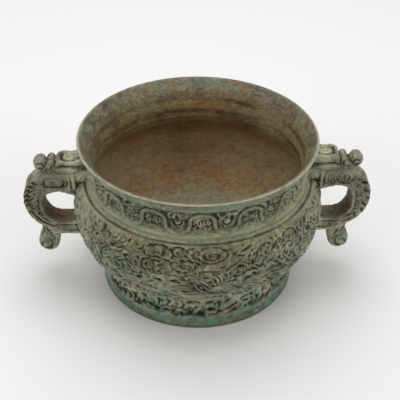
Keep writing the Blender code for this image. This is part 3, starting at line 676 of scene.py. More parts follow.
def vessel():
    """The turned vessel with its carving raised on the outer side."""
    inside, outside, under = [resample(points, step).tolist() for points, step in (
        (inside_profile(), INSIDE_STEP), (outside_profile(), ROW_STEP), (underneath_profile(), UNDER_STEP))]
    profile = inside + outside + under
    first, last = len(inside), len(inside) + len(outside)
    columns = COLUMNS
    body = spun(profile, "burner_casting", columns)
    points = vertex_values(body.data)
    rows = np.arange(len(points)) % len(profile)
    around = FULL_TURN * (np.arange(len(points)) // len(profile)) / columns
    turn = (around + QUARTER_TURN) % FULL_TURN
    column = np.rint(turn / FULL_TURN * columns).astype(int) % columns
    heights = np.array([height for radius, height in outside])
    up = np.interp(heights, HEIGHTS, ARC_UP)
    step = FULL_TURN / columns
    carved = np.zeros((len(outside), columns))
    # Each band's arc heights, and where its carving fades in and out
    for carve, unroll, low, high, fades in (
            (carve_frieze, NECK_UNROLL, 112.5, 136.5, None),
            (carve_belly, BELLY_UNROLL, 29.5, 107.8, (36.0, 41.0, 105.8, 107.4)),
            (carve_foot, FOOT_UNROLL, 9.8, 32.5, (10.2, 12.0, 31.0, 32.5))):
        band = (up >= low) & (up <= high)
        relief = Relief(np.arange(columns) * step * unroll, up[band], FULL_TURN * unroll)
        carve(relief)
        if fades:
            relief.height = relief.height * (ease(*fades[:2], up[band])
                                             * (1.0 - ease(*fades[2:], up[band])))[:, None]
        carved[band] += relief.height
    aspect = (up.max() - up.min()) / (FULL_TURN * BELLY_UNROLL)
    wear = slow_noise(carved.shape, ((26, 0.25), (90, 0.2), (260, 0.16), (520, 0.1)), 3, aspect)
    lip_free = 1.0 - ease(128.5, 131.0, heights)[:, None]
    foot_free = ease(0.6, 2.0, heights)[:, None]
    carved = (np.clip(carved, DEEPEST_CUT, HIGHEST_RIDGE) * (1.0 + 0.10 * wear)
              + 0.14 * wear * lip_free * foot_free)
    # Faint turning lines on the plain band under the lip
    band_lines = ease(122.5, 123.5, heights) * (1.0 - ease(129.6, 130.4, heights))
    carved += (0.16 * band_lines * np.sin(heights * 4.4))[:, None]
    # The outer side moves outwards, and a little down under the belly
    radial = np.stack([np.sin(turn), -np.cos(turn), np.zeros(len(turn))], 1)
    level = points[:, 2] / MM
    out = (rows >= first) & (rows < last)
    outward = radial[out]
    under_belly = (points[out, 2] > 36.0 * MM) & (points[out, 2] < 66.0 * MM)
    outward[:, 2] = np.where(under_belly, -0.8 * ease(66.0, 46.0, level[out]), 0.0)
    outward /= np.linalg.norm(outward, axis=1)[:, None]
    # The bowl's wall is a little uneven, with turned rings in the throat
    dent = slow_noise((first, columns), ((9, 0.5), (24, 0.25), (70, 0.12)), 8, 0.24)
    wall = (rows < first - 4) & (points[:, 2] > 36.0 * MM)
    rings = 0.22 * np.sin(level * 1.15) * ease(98.0, 104.0, level)
    sway = 0.35 * dent[rows[wall], column[wall]] + rings[wall]
    points[out] += outward * carved[rows[out] - first, column[out]][:, None] * MM
    points[wall] += radial[wall] * (sway * MM)[:, None]
    put_places(body.data, points)
    return closed(body)


# Handles, in the plane through the axis: distance out, height
LOOP_CENTRE = (110.8, 77.0)
LOOP_RADIUS = 30.6
LOOP_TOP = 103.6
LOOP_UNDERSIDE = 42.7
LOOP_HALF = 8.9
EYE_CENTRE = (111.5, 71.5)
EYE_HALF_WIDTH = 14.3
EYE_DEPTH = 15.8
HANDLE_VOXEL = 0.00052
CARVING_STEP = 0.35
LEFT = {"side": -1.0, "head_top": 114.2, "nose": (125.7, 109.2), "roof": 85.3,
        "pendant": (124.8, 32.5), "curl": (116.6, 94.2, 6.8, 3.9), "pad": True}
RIGHT = {"side": 1.0, "head_top": 117.2, "nose": (127.5, 109.3), "roof": 88.2,
         "pendant": (119.4, 31.0), "curl": (118.8, 96.4, 5.6, 5.0), "pad": False}


def arc_points(centre, radius, first, last, count):
    turns = np.radians(np.linspace(first, last, count))
    return [(centre[0] + radius * math.cos(turn), centre[1] + radius * math.sin(turn)) for turn in turns]


def loop_point(radius, angle):
    return arc_points(LOOP_CENTRE, radius, angle, angle, 1)[0]


def loop_outline():
    top = [(84.0, LOOP_TOP), (126.0, LOOP_TOP), (129.6, 100.3), (133.7, 95.2)]
    under = [(119.6, LOOP_UNDERSIDE), (84.0, LOOP_UNDERSIDE)]
    return top + arc_points(LOOP_CENTRE, LOOP_RADIUS, 26.0, -62.0, 26) + under


def eye_outline(roof):
    """The finger hole: square at its upper outer corner, round below, closed by the vessel."""
    x, z = EYE_CENTRE
    upper = [(x + EYE_HALF_WIDTH * math.sin(turn) ** 0.7, z + (roof - z) * math.cos(turn) ** 0.7)
             for turn in np.linspace(0.0, QUARTER_TURN, 12)]
    lower = [(x + EYE_HALF_WIDTH * math.cos(turn), z - EYE_DEPTH * math.sin(turn))
             for turn in np.linspace(0.0, QUARTER_TURN, 14)[1:]]
    return upper + lower + [(90.0, z - EYE_DEPTH), (90.0, roof - 12.0), (99.4, roof - 3.9)]


def tail_outline(centre):
    """The curled tail that hangs from the loop."""
    outer = [(centre[0] + x, centre[1] + z)
             for x, z in ((3.6, 18.5), (5.4, 11.8), (3.2, 8.6), (4.4, 7.0), (6.8, 5.4))]
    inner = [(centre[0] - 10.2, LOOP_UNDERSIDE - 3.0), (centre[0] - 12.2, LOOP_UNDERSIDE + 5.0)]
    return outer + arc_points(centre, 8.6, 30.0, -178.0, 26) + inner


def plate(name, outline, half, bevel=0.0):
    """A flat outline in the X-Z plane, extruded along Y, its edges rounded."""
    bpy.ops.mesh.primitive_circle_add(vertices=len(outline), radius=0.05, fill_type="NGON",
                                      location=(0.0, 0.0, 0.0))
    for vertex, (out, height) in zip(bpy.context.active_object.data.vertices, outline):
        vertex.co = (out * MM, -half * MM, height * MM)
    bpy.ops.object.mode_set(mode="EDIT")
    bpy.ops.mesh.select_all(action="SELECT")
    bpy.ops.mesh.extrude_region_move(TRANSFORM_OT_translate={"value": (0.0, 2.0 * half * MM, 0.0)})
    bpy.ops.mesh.select_all(action="SELECT")
    bpy.ops.mesh.normals_make_consistent(inside=False)
    bpy.ops.object.mode_set(mode="OBJECT")
    piece = named(name)
    if bevel:
        modified(piece, "BEVEL", width=bevel * MM, segments=4, limit_method="ANGLE",
                 angle_limit=math.radians(50.0))
    return piece


def sized(name, size):
    """The piece just made, stretched to its size."""
    bpy.context.active_object.scale = size
    bpy.ops.object.transform_apply(location=True, rotation=True, scale=True)
    return named(name)


def block(name, low, high, bevel):
    middle = [0.5 * (top + bottom) * MM for bottom, top in zip(low, high)]
    bpy.ops.mesh.primitive_cube_add(size=MM, location=middle)
    piece = sized(name, [top - bottom for bottom, top in zip(low, high)])
    return modified(piece, "BEVEL", width=bevel * MM, segments=3)


def ball(name, centre, radii):
    bpy.ops.mesh.primitive_uv_sphere_add(segments=32, ring_count=18, radius=MM,
                                         location=[value * MM for value in centre])
    return sized(name, radii)


def apply_boolean(body, other, operation, solver):
    modified(body, "BOOLEAN", operation=operation, solver=solver, object=other)
    bpy.data.objects.remove(other)


def joined(name, pieces):
    for piece in pieces:
        piece.select_set(True)
    bpy.context.view_layer.objects.active = pieces[0]
    bpy.ops.object.join()
    return named(name)


def handle_side(sizes):
    """Carving on a handle's two faces, seen along Y."""
    relief = Relief(np.arange(86.0, 144.0, CARVING_STEP), np.arange(20.0, 120.0, CARVING_STEP))
    ridge, groove, pit = relief.ridge, relief.groove, relief.pit
    edge, outside = [[(x + grown * (x - 107.0) / 16.0, z + grown * (z - 71.5) / 16.0)
                      for x, z in eye_outline(sizes["roof"])[:-3]] for grown in (1.6, 3.7)]
    ridge(edge[8:] + [(100.0, edge[-1][1]), (94.0, edge[-1][1] + 0.6)], 2.6, 0.7)
    groove(outside[20:] + [(101.0, outside[-1][1])], 1.5, 0.5, 0.4)
    groove([(98.0, 46.6), (106.0, 46.0), (114.0, 47.4), (123.0, 52.0)], 1.6, 0.6, 0.6)
    # Loop's outer edge: broken zigzags on one handle, short nicks on the other, and a long sunk line below
    if sizes["pad"]:
        for turn in (38.0, 29.0, 20.0, 9.0, 0.0, -9.0):
            tilt = turn + between(-2.0, 2.0)
            reach = [loop_point(radius + between(-0.5, 0.5), tilt + lift)
                     for radius, lift in ((24.4, 4.0), (26.4, -1.5), (27.6, 2.6), (30.2, -2.5))]
            groove(resample(reach, 0.5), between(1.5, 2.6), between(1.1, 1.9), 0.3)
        groove(arc_points(LOOP_CENTRE, 27.0, -16.0, -84.0, 30), 1.9, 1.5, 0.7)
        ridge(arc_points(LOOP_CENTRE, 24.6, -20.0, -70.0, 30), 2.2, 0.6, 0.6)
        pit(loop_point(29.2, -24.0), 2.6, 1.7, 0.9, -30.0)
    else:
        for turn in (33.0, 24.0, 11.0, -4.0, -15.0, -31.0, -42.0):
            tilt = turn + between(-3.0, 3.0)
            reach = [loop_point(between(24.0, 27.5), tilt + 3.0),
                     loop_point(between(28.4, 30.4), tilt - 3.0)]
            groove(resample(reach, 0.5), between(1.4, 2.4), between(0.9, 1.7), 0.4)
        groove(arc_points(LOOP_CENTRE, 27.6, -46.0, -72.0, 20), 1.8, 1.3, 0.6)
    for spot in range(16):
        place = loop_point(between(21.0, 28.6), between(-50.0, 40.0))
        pit(place, between(0.8, 1.4), between(0.6, 0.9), 0.8, between(0, 180))
    # Top of the loop: a rounded pad with two arcs, or nested arcs round a short spiral
    x, z, across, tall = sizes["curl"]
    if sizes["pad"]:
        groove([(x - across, z - tall), (x + across - 2.0, z - tall), (x + across, z),
                (x + across - 2.0, z + tall), (x - across, z + tall), (x - across - 1.6, z),
                (x - across, z - tall)], 1.6, 0.9, 0.0)
        pit((x - 1.0, z), across - 0.6, tall - 0.6, -0.5)
        for reach in (2.8, 5.0):
            groove(arc_line((x - across + 2.6, z), reach + 2.6, tall + 0.4 * reach, 118, 242), 1.4, 1.1)
    else:
        groove(arc_line((x, z), across + 1.2, tall + 1.2, 100, 330), 1.4, 0.8, 0.5)
        ridge(spiral_line((x, z), 1.0, across, 1.4, 60.0, -1.0, tall / across), 1.9, 1.0)
        for reach in (2.8, 5.2, 7.6, 9.8):
            ridge(arc_line((x, z), across + reach, tall + 0.55 * reach, 122, 234), 1.5, 0.8)
    # Collar where the loop meets the vessel
    groove([(97.2, 88.0), (97.4, 96.0), (97.0, 103.0)], 1.4, 0.8, 0.3)
    ridge([(99.6, 88.0), (99.8, 96.0), (99.6, 103.0)], 2.4, 0.8, 0.1)
    groove([(101.9, 88.0), (102.1, 96.0), (101.9, 103.0)], 1.2, 0.8, 0.3)
    ridge(spiral_line((92.6, 98.0), 0.6, 3.2, 1.4, 90.0, 1.0), 1.5, 0.8)
    nose, nose_up = sizes["nose"]
    # Cheek: a swept leaf below the ear with a pale crease, and the jaw's line under it
    pit((104.6, 106.6), 9.6, 3.6, -1.7, -5.0)
    groove([(92.0, 110.6), (101.0, 110.0), (109.0, 110.4), (113.6, 108.6)], 1.8, 1.4, 0.4)
    ridge([(93.0, 106.8), (99.0, 108.0), (106.0, 108.4)], 1.5, 1.1, 0.3)
    groove([(94.0, 103.0), (104.0, 102.6), (112.0, 103.6), (114.8, 106.6)], 1.6, 1.2, 0.4)
    groove([(114.0, 102.0), (119.0, 103.4), (nose - 2.0, 103.0)], 1.8, 1.1, 0.5)
    # Eye, brow and nostril
    pit((118.4, 109.4), 1.9, 1.6, -0.9)
    groove(arc_line((118.4, 109.4), 2.7, 2.3, 20, 330), 1.1, 1.1, 0.1)
    pit((120.4, 106.0), 1.4, 1.1, 1.6)
    pit((115.8, 105.2), 1.3, 0.9, 1.2)
    groove(spiral_line((nose, nose_up), 0.5, 4.5, 1.5, 200.0, 1.0), 1.5, 1.2)
    pit((nose - 0.4, nose_up - 1.4), 1.8, 1.4, 1.7)
    pit((nose + 1.6, nose_up + 1.8), 1.1, 0.9, 1.0)
    # Hanging tail: a curl round a small boss
    out, up = sizes["pendant"]
    groove(spiral_line((out + 2.6, up - 1.4), 1.6, 6.4, 0.95, 100.0, -1.0), 1.7, 1.3)
    pit((out + 2.8, up - 1.6), 3.0, 2.8, -1.0)
    ridge(arc_line((out - 0.4, up), 6.6, 6.8, 150, 330), 2.0, 0.8)
    groove([(out + 2.2, up + 17.0), (out + 2.8, up + 12.0), (out - 0.4, up + 8.2)], 1.6, 1.2)
    groove([(out - 2.4, up + 15.0), (out - 2.0, up + 10.0), (out - 5.4, up + 4.0)], 1.4, 0.9)
    return relief


def handle_top(sizes):
    """Carving on the head, seen from above: the curled ear, the brow and the eyes."""
    relief = Relief(np.arange(86.0, 136.0, CARVING_STEP), np.arange(-13.0, 13.0, CARVING_STEP))
    ridge, groove, pit = relief.ridge, relief.groove, relief.pit
    ear, nose = (100.6, 0.0), sizes["nose"][0]
    pit(ear, 7.6, 6.6, -1.5)
    groove(spiral_line(ear, 0.8, 6.0, 1.7, 0.0, 1.0, 0.86), 1.3, 0.7, 0.0)
    groove(arc_line(ear, 8.0, 7.0, 0, 360), 1.4, 1.2, 0.0)
    ridge([(106.6, -8.6), (111.0, -5.4), (111.8, 0.0), (111.0, 5.4), (106.6, 8.6)], 3.6, 1.2)
    groove([(113.8, -9.0), (114.4, 0.0), (113.8, 9.0)], 1.8, 1.3, 0.1)
    for side in (-1.0, 1.0):
        pit((117.0, side * 5.6), 2.2, 2.0, -0.8)
        pit((119.6, side * 3.4), 1.3, 1.1, 1.7)
        pit((116.0, side * 2.2), 1.1, 0.9, 1.3)
        ridge([(113.6, side * 2.4), (117.6, side * 1.2), (121.4, side * 2.4)], 1.6, 0.9)
    groove([(nose - 3.8, -8.0), (nose - 4.6, 0.0), (nose - 3.8, 8.0)], 1.7, 1.3, 0.1)
    return relief


def sample(relief, across, up):
    """Height of a pattern at each place, read between its grid's points."""
    def on_grid(values, grid):
        place = np.clip((values - grid[0]) / (grid[1] - grid[0]), 0, len(grid) - 1.001)
        return place.astype(int), place - place.astype(int)

    left, right_part = on_grid(across, relief.across)
    low, upper_part = on_grid(up, relief.up)
    lower, upper = [relief.height[row, left] * (1 - right_part) + relief.height[row, left + 1] * right_part
                    for row in (low, low + 1)]
    return lower * (1 - upper_part) + upper * upper_part


def handle(name, sizes):
    """One beast-head loop handle, its carving on its faces, top and rim."""
    top = sizes["head_top"]
    nose, nose_up = sizes["nose"]
    ear_front = 113.2
    loop = plate(name, loop_outline(), LOOP_HALF)
    hole = plate("finger_hole", eye_outline(sizes["roof"]), LOOP_HALF + 4.0)
    apply_boolean(loop, hole, "DIFFERENCE", "EXACT")
    pieces = [loop, plate("tail", tail_outline(sizes["pendant"]), 7.3, 2.6),
              block("jaw", (84.0, -8.8, 100.0), (121.5, 8.8, 110.0), 2.2),
              block("ear", (84.0, -9.6, 104.5), (ear_front, 9.6, top - 1.6), 2.0),
              block("snout", (112.0, -7.2, 100.5), (nose + 1.0, 7.2, nose_up - 0.2), 2.4),
              ball("nose", (nose, 0.0, nose_up), (5.6, 8.8, 5.6)),
              ball("forehead", (115.6, 0.0, 109.4), (4.6, 8.2, 3.8))]
    pieces += [ball("brow", (117.2, side * 6.0, 109.6), (3.5, 3.3, 3.4)) for side in (-1.0, 1.0)]
    # The ear's top rises towards the vessel
    ear = vertex_values(pieces[3].data)
    lifted = ear[:, 2] > 108.0 * MM
    ear[lifted, 2] += 0.13 * (ear_front * MM - ear[lifted, 0])
    put_places(pieces[3].data, ear)
    whole = joined(name, pieces)
    modified(whole, "REMESH", mode="VOXEL", voxel_size=HANDLE_VOXEL)
    modified(whole, "SMOOTH", factor=0.5, iterations=7)
    points, outward = vertex_values(whole.data), vertex_values(whole.data, "normal")
    flat = points / MM
    facing = np.abs(outward[:, 1])
    move = np.zeros_like(points)
    move[:, 1] += (np.sign(outward[:, 1])
                   * (sample(handle_side(sizes), flat[:, 0], flat[:, 2]) * ease(0.35, 0.75, facing)))
    upward = ease(0.35, 0.75, outward[:, 2]) * ease(106.5, 108.5, flat[:, 2])
    move[:, 2] += sample(handle_top(sizes), flat[:, 0], flat[:, 1]) * upward
    # Scallops round the loop's rim
    away_x, away_z = flat[:, 0] - LOOP_CENTRE[0], flat[:, 2] - LOOP_CENTRE[1]
    angle = np.degrees(np.arctan2(away_z, away_x))
    rim = (ease(28.5, 29.5, np.hypot(away_x, away_z)) * ease(0.5, 0.8, 1.0 - facing)
           * (angle < 42) * (angle > -66))
    scallop = np.abs(((angle + 0.25 * np.abs(flat[:, 1])) / 8.6) % 1.0 - 0.5) * 2.0
    dip = -0.9 * ease(0.60, 0.98, scallop) * rim
    move[:, 0] += dip * np.cos(np.radians(angle))
    move[:, 2] += dip * np.sin(np.radians(angle))
    rough = 0.13 * spots(flat, 3.4, 21) + 0.10 * spots(flat, 1.9, 22)
    rough *= ease(92.0, 97.0, flat[:, 0])
    put_places(whole.data, points + (move + outward * rough[:, None]) * MM)
    if sizes["side"] < 0.0:
        whole.data.transform(Matrix.Scale(-1.0, 4, Vector((1.0, 0.0, 0.0))))
        whole.data.flip_normals()
    return whole


def bowl_core():
    """The bowl's hollow grown by half a wall, which keeps the handles' roots out of the bowl."""
    wall = [(radius + 2.0, height) for radius, height in inside_profile()
            if radius > 70.0 and 38.0 < height < 124.0]
    return closed(spun([(0.0, wall[0][1])] + wall + [(0.0, wall[-1][1])], "bowl_core", 256))


def cast_in_one():
    """Vessel and handles made one closed skin, thinned to the size a piece may have."""
    body = vessel()
    for name, sizes in (("left_handle", LEFT), ("right_handle", RIGHT)):
        loop = handle(name, sizes)
        apply_boolean(loop, bowl_core(), "DIFFERENCE", "MANIFOLD")
        apply_boolean(body, loop, "UNION", "MANIFOLD")
    faces = sum(len(face.vertices) - 2 for face in body.data.polygons)
    if faces > PIECE_TRIANGLES:
        modified(body, "DECIMATE", ratio=PIECE_TRIANGLES / faces, use_collapse_triangulate=True)
    bpy.ops.object.select_all(action="DESELECT")
    bpy.context.view_layer.objects.active = body
    body.select_set(True)
    bpy.ops.object.shade_smooth()
    body.select_set(False)
    return body


def neighbour_mean(values, edges, count, rounds):
    """Values evened out with their neighbours' a number of times."""
    size = len(values)
    for turn in range(rounds):
        total = np.empty_like(values)
        for axis in range(values.shape[1]):
            column = values[:, axis]
            total[:, axis] = (np.bincount(edges[:, 0], column[edges[:, 1]], size)
                              + np.bincount(edges[:, 1], column[edges[:, 0]], size))
        values = 0.5 * values + 0.5 * total / np.maximum(count, 1)[:, None]
    return values


def spots(points, size, seed):
    """Soft random values in space, from about -1 to 1, that change over a given size in millimetres."""
    dice = np.random.default_rng(seed)
    total = np.zeros(len(points))
    for wave in range(14):
        way = dice.standard_normal(3)
        way /= np.linalg.norm(way)
        total += np.sin(points @ way * (FULL_TURN / size) * dice.uniform(0.7, 1.5)
                        + dice.uniform(0.0, FULL_TURN))
    return total / 2.8


def weather(body):
    """Stores how sunk, worn, green and warm each place of the casting is, with masks for dirt and painted
    shade in the cuts and for wear and a painted highlight on the ridges.
    """
    mesh = body.data
    pairs = np.empty(len(mesh.edges) * 2, np.int64)
    mesh.edges.foreach_get("vertices", pairs)
    edges = pairs.reshape(-1, 2)
    count = np.bincount(edges.ravel(), minlength=len(mesh.vertices)).astype(float)
    points, outward = vertex_values(mesh) / MM, vertex_values(mesh, "normal")
    # How far each place lies below its neighbourhood, for three sizes of neighbourhood
    evened, depths = points, []
    for rounds in (4, 16, 40):
        evened = neighbour_mean(evened, edges, count, rounds)
        depths.append(((evened - points) * outward).sum(1))
    sunk_fine, sunk_broad, sunk_wide = depths
    sunk = np.clip(2.2 * sunk_fine + 1.2 * sunk_broad + 0.35 * sunk_wide, -1.2, 1.6)
    sunk = neighbour_mean(sunk[:, None], edges, count, 1)[:, 0]
    radius, height = np.hypot(points[:, 0], points[:, 1]), points[:, 2]
    inner = np.array(inside_profile())
    inner = inner[np.argsort(inner[:, 1])]
    within = (radius < np.interp(height, inner[:, 1], inner[:, 0]) + 1.2) & (height > 31.5)
    outer = ~within
    # Dark in the cuts: dirt and painted shade, from how far each place lies below its neighbourhood
    cut_dirt_and_shade = ease(0.05, 0.52, sunk) * outer
    cut_dirt_and_shade *= 1.0 - 0.85 * ease(94.5, 96.5, height) * (1.0 - ease(104.0, 108.0, height))
    cut_dirt_and_shade *= 1.0 - 0.2 * ease(104.0, 108.0, height)
    # Pale on the ridges: wear and a painted highlight
    worn_and_highlit = ease(0.06, 0.56, -2.6 * sunk_fine - 0.8 * sunk_broad) * outer
    drift, small = spots(points, 26.0, 4), spots(points, 7.0, 5)
    on_handle = radius > 103.5
    # Verdigris: the band under the lip, the flange, low down, the tails, the rim's back and the cuts
    band = ease(121.5, 124.5, height) * outer * ~on_handle
    flange = (1.0 - ease(11.5, 16.0, height)) * ease(3.4, 5.6, height) * outer
    low = (1.0 - ease(26.0, 58.0, height)) * outer * (1.0 - 0.7 * on_handle)
    tails = on_handle * (1.0 - ease(34.0, 44.0, height))
    back_rim = ease(0.2, 0.9, points[:, 1] / 95.0) * ease(127.0, 131.0, height)
    green = (0.22 * band + 0.80 * flange + 0.52 * low + 0.26 * tails + 0.9 * back_rim
             + 0.24 * outer + 0.22 * cut_dirt_and_shade)
    green *= 1.0 - 0.6 * on_handle * ease(40.0, 48.0, height)
    green = np.clip(green * (0.85 + 0.55 * drift + 0.25 * small), 0.0, 1.0)
    # Brown metal showing on the belly, most in front and at the back, and on the frieze
    turn = np.abs(np.degrees(np.arctan2(points[:, 0], -points[:, 1])))
    front = np.exp(-(np.minimum(turn, np.abs(turn - 180.0)) / 34.0) ** 2)
    belly = ease(66.0, 78.0, height) * (1.0 - ease(94.0, 97.0, height))
    frieze = ease(99.0, 102.0, height) * (1.0 - ease(118.0, 122.0, height))
    warm = np.clip((0.75 * belly * (0.35 + 0.65 * front) + 0.25 * frieze) * (0.8 + 0.6 * drift)
                   + 0.25 * np.clip(small, 0, 1), 0.0, 1.0) * outer
    gap = np.hypot((points[:, 0] - np.sign(points[:, 0]) * 108.0) / 19.0, (height - 71.0) / 18.5)
    loop_inner = on_handle * ease(0.35, 0.7, np.hypot(outward[:, 0], outward[:, 2])) * (gap < 1.0)
    for name, values in (("cut_dirt_and_shade", cut_dirt_and_shade), ("worn_and_highlit", worn_and_highlit), ("green", green), ("warm", warm),
                         ("within", within), ("loop_inner", loop_inner)):
        values = neighbour_mean(values[:, None].astype(float), edges, count, 1)[:, 0]
        stored = mesh.attributes.new(name, "FLOAT", "POINT")
        stored.data.foreach_set("value", values.astype(np.float32))


def colour(red, green, blue):
    """A colour as seen on screen, 0 to 255, as the shader takes it."""
    def linear(value):
        value /= 255.0
        return value / 12.92 if value <= 0.04045 else ((value + 0.055) / 1.055) ** 2.4
    return (linear(red), linear(green), linear(blue), 1.0)


class Nodes:
    """A short way to write a material's nodes."""

    def __init__(self, name):
        self.material = bpy.data.materials.new(name)
        self.material.use_nodes = True
        self.nodes = self.material.node_tree.nodes
        self.shader = self.nodes["Principled BSDF"].inputs
        self.object_places = self.nodes.new("ShaderNodeTexCoord").outputs["Object"]

    def link(self, source, target):
        if hasattr(source, "is_output"):
            self.material.node_tree.links.new(source, target)
        else:
            target.default_value = source

    def add(self, kind, output, inputs, **settings):
        """A new node with its settings and inputs; its output is handed back."""
        node = self.nodes.new("ShaderNode" + kind)
        for name, value in settings.items():
            setattr(node, name, value)
        for name, value in inputs.items():
            self.link(value, node.inputs[name])
        return node.outputs[output]

    def attribute(self, name):
        return self.add("Attribute", "Fac", {}, attribute_name=name)

    def noise(self, scale, detail, rough=0.6, stretch=None):
        place = self.object_places
        if stretch:
            place = self.add("Mapping", "Vector", {"Vector": place, "Scale": stretch})
        return self.add("TexNoise", "Fac",
                        {"Vector": place, "Scale": scale, "Detail": detail, "Roughness": rough})

    def maths(self, operation, *values):
        return self.add("Math", "Value", dict(enumerate(values)), operation=operation)

    def product(self, *values):
        total = values[0]
        for value in values[1:]:
            total = self.maths("MULTIPLY", total, value)
        return total

    def band(self, value, low, high):
        """0 at low and 1 at high, soft between."""
        return self.add("MapRange", "Result", {"Value": value, "From Min": low, "From Max": high},
                        interpolation_type="SMOOTHSTEP")

    def ring(self, value, middle, half):
        """1 at the middle value and 0 beyond half a width from it."""
        away = self.maths("ABSOLUTE", self.maths("SUBTRACT", value, middle))
        return self.maths("SUBTRACT", 1.0, self.band(away, 0.0, half))

    def patches(self, scale, detail, low, high, rough=0.6, stretch=None):
        """Soft-edged random patches; the farther apart low and high are, the softer."""
        return self.band(self.noise(scale, detail, rough, stretch), low, high)

    def blend(self, share, first, second):
        """A mix of two colours, each three screen values or a node's output."""
        first, second = [colour(*tint) if isinstance(tint, tuple) else tint for tint in (first, second)]
        return self.add("Mix", "Result", {"Factor": share, "A": first, "B": second}, data_type="RGBA")

    def coats(self, ground, *layers):
        """Colours laid over the ground one after another: each is a tint and the shares it is laid in."""
        for tint, *shares in layers:
            ground = self.blend(self.product(*shares), ground, tint)
        return ground

    def cylinder_places(self):
        """Distance from the axis, height, and depth from front to back, in millimetres."""
        parts = self.nodes.new("ShaderNodeSeparateXYZ")
        self.link(self.object_places, parts.inputs["Vector"])
        across, depth, height = [self.maths("MULTIPLY", axis, 1000.0) for axis in parts.outputs]
        square = self.maths("ADD", self.product(across, across), self.product(depth, depth))
        return self.maths("SQRT", square), height, depth


def bowl_colour(use, radius, height, depth, grain):
    """Inside: brown metal with olive and purple-brown stains, soft rings of painted shadow and a grey-green
    floor.
    """
    mottle = use.noise(190, 6, 0.75, (1.0, 1.0, 1.7))
    flare = use.band(height, 116.0, 127.0)
    swayed = use.maths("MULTIPLY_ADD", use.noise(30, 4), 6.0, height)
    # Painted shadow: dark rings round the inner wall about the throat
    shadow_rings = [((50, 37, 32), use.ring(swayed, middle, half),
                   use.patches(24, 4, 0.34, 0.58, 0.6, (1.0, 1.0, 0.3)), share)
                  for middle, half, share in ((121.3, 5.0, 0.85), (108.4, 5.4, 0.85), (101.8, 3.4, 0.55),
                                              (94.0, 4.0, 0.45))]
    return use.coats(
        use.blend(use.patches(13, 3, 0.40, 0.62, 0.55, (1.0, 1.0, 0.6)), (146, 130, 90), (154, 118, 74)),
        ((134, 128, 88), use.patches(24, 5, 0.44, 0.66, 0.62, (1.0, 1.0, 1.8)), 0.65),
        ((158, 148, 108), use.ring(depth, -5.0, 70.0), use.band(radius, 50.0, 80.0), 0.5),
        ((160, 94, 48), use.patches(27, 5, 0.47, 0.64, 0.62), use.band(height, 108.0, 98.0), 0.58),
        ((84, 62, 46), use.patches(34, 5, 0.48, 0.68, 0.66), 0.55),
        *shadow_rings,
        ((150, 142, 104), use.patches(70, 4, 0.46, 0.62, 0.6, (0.3, 0.3, 4.0)), 0.35),
        ((116, 102, 84), flare, 0.75),
        ((74, 58, 46), flare, use.patches(64, 5, 0.48, 0.60, 0.72), 0.6),
        ((148, 150, 120), use.patches(24, 5, 0.32, 0.54, 0.65), use.ring(height, BOWL_FLOOR, 7.0), 0.8),
        ((104, 136, 114), use.band(height, 118.0, 131.0), use.patches(84, 6, 0.47, 0.57, 0.75), 0.60),
        ((66, 50, 34), use.band(mottle, 0.47, 0.60), 0.40),
        ((178, 160, 114), use.band(mottle, 0.49, 0.38), 0.24),
        ((170, 158, 122), use.band(grain, 0.55, 0.72), 0.26),
        ((225, 205, 160), use.ring(height, 68.0, 30.0), 0.14))


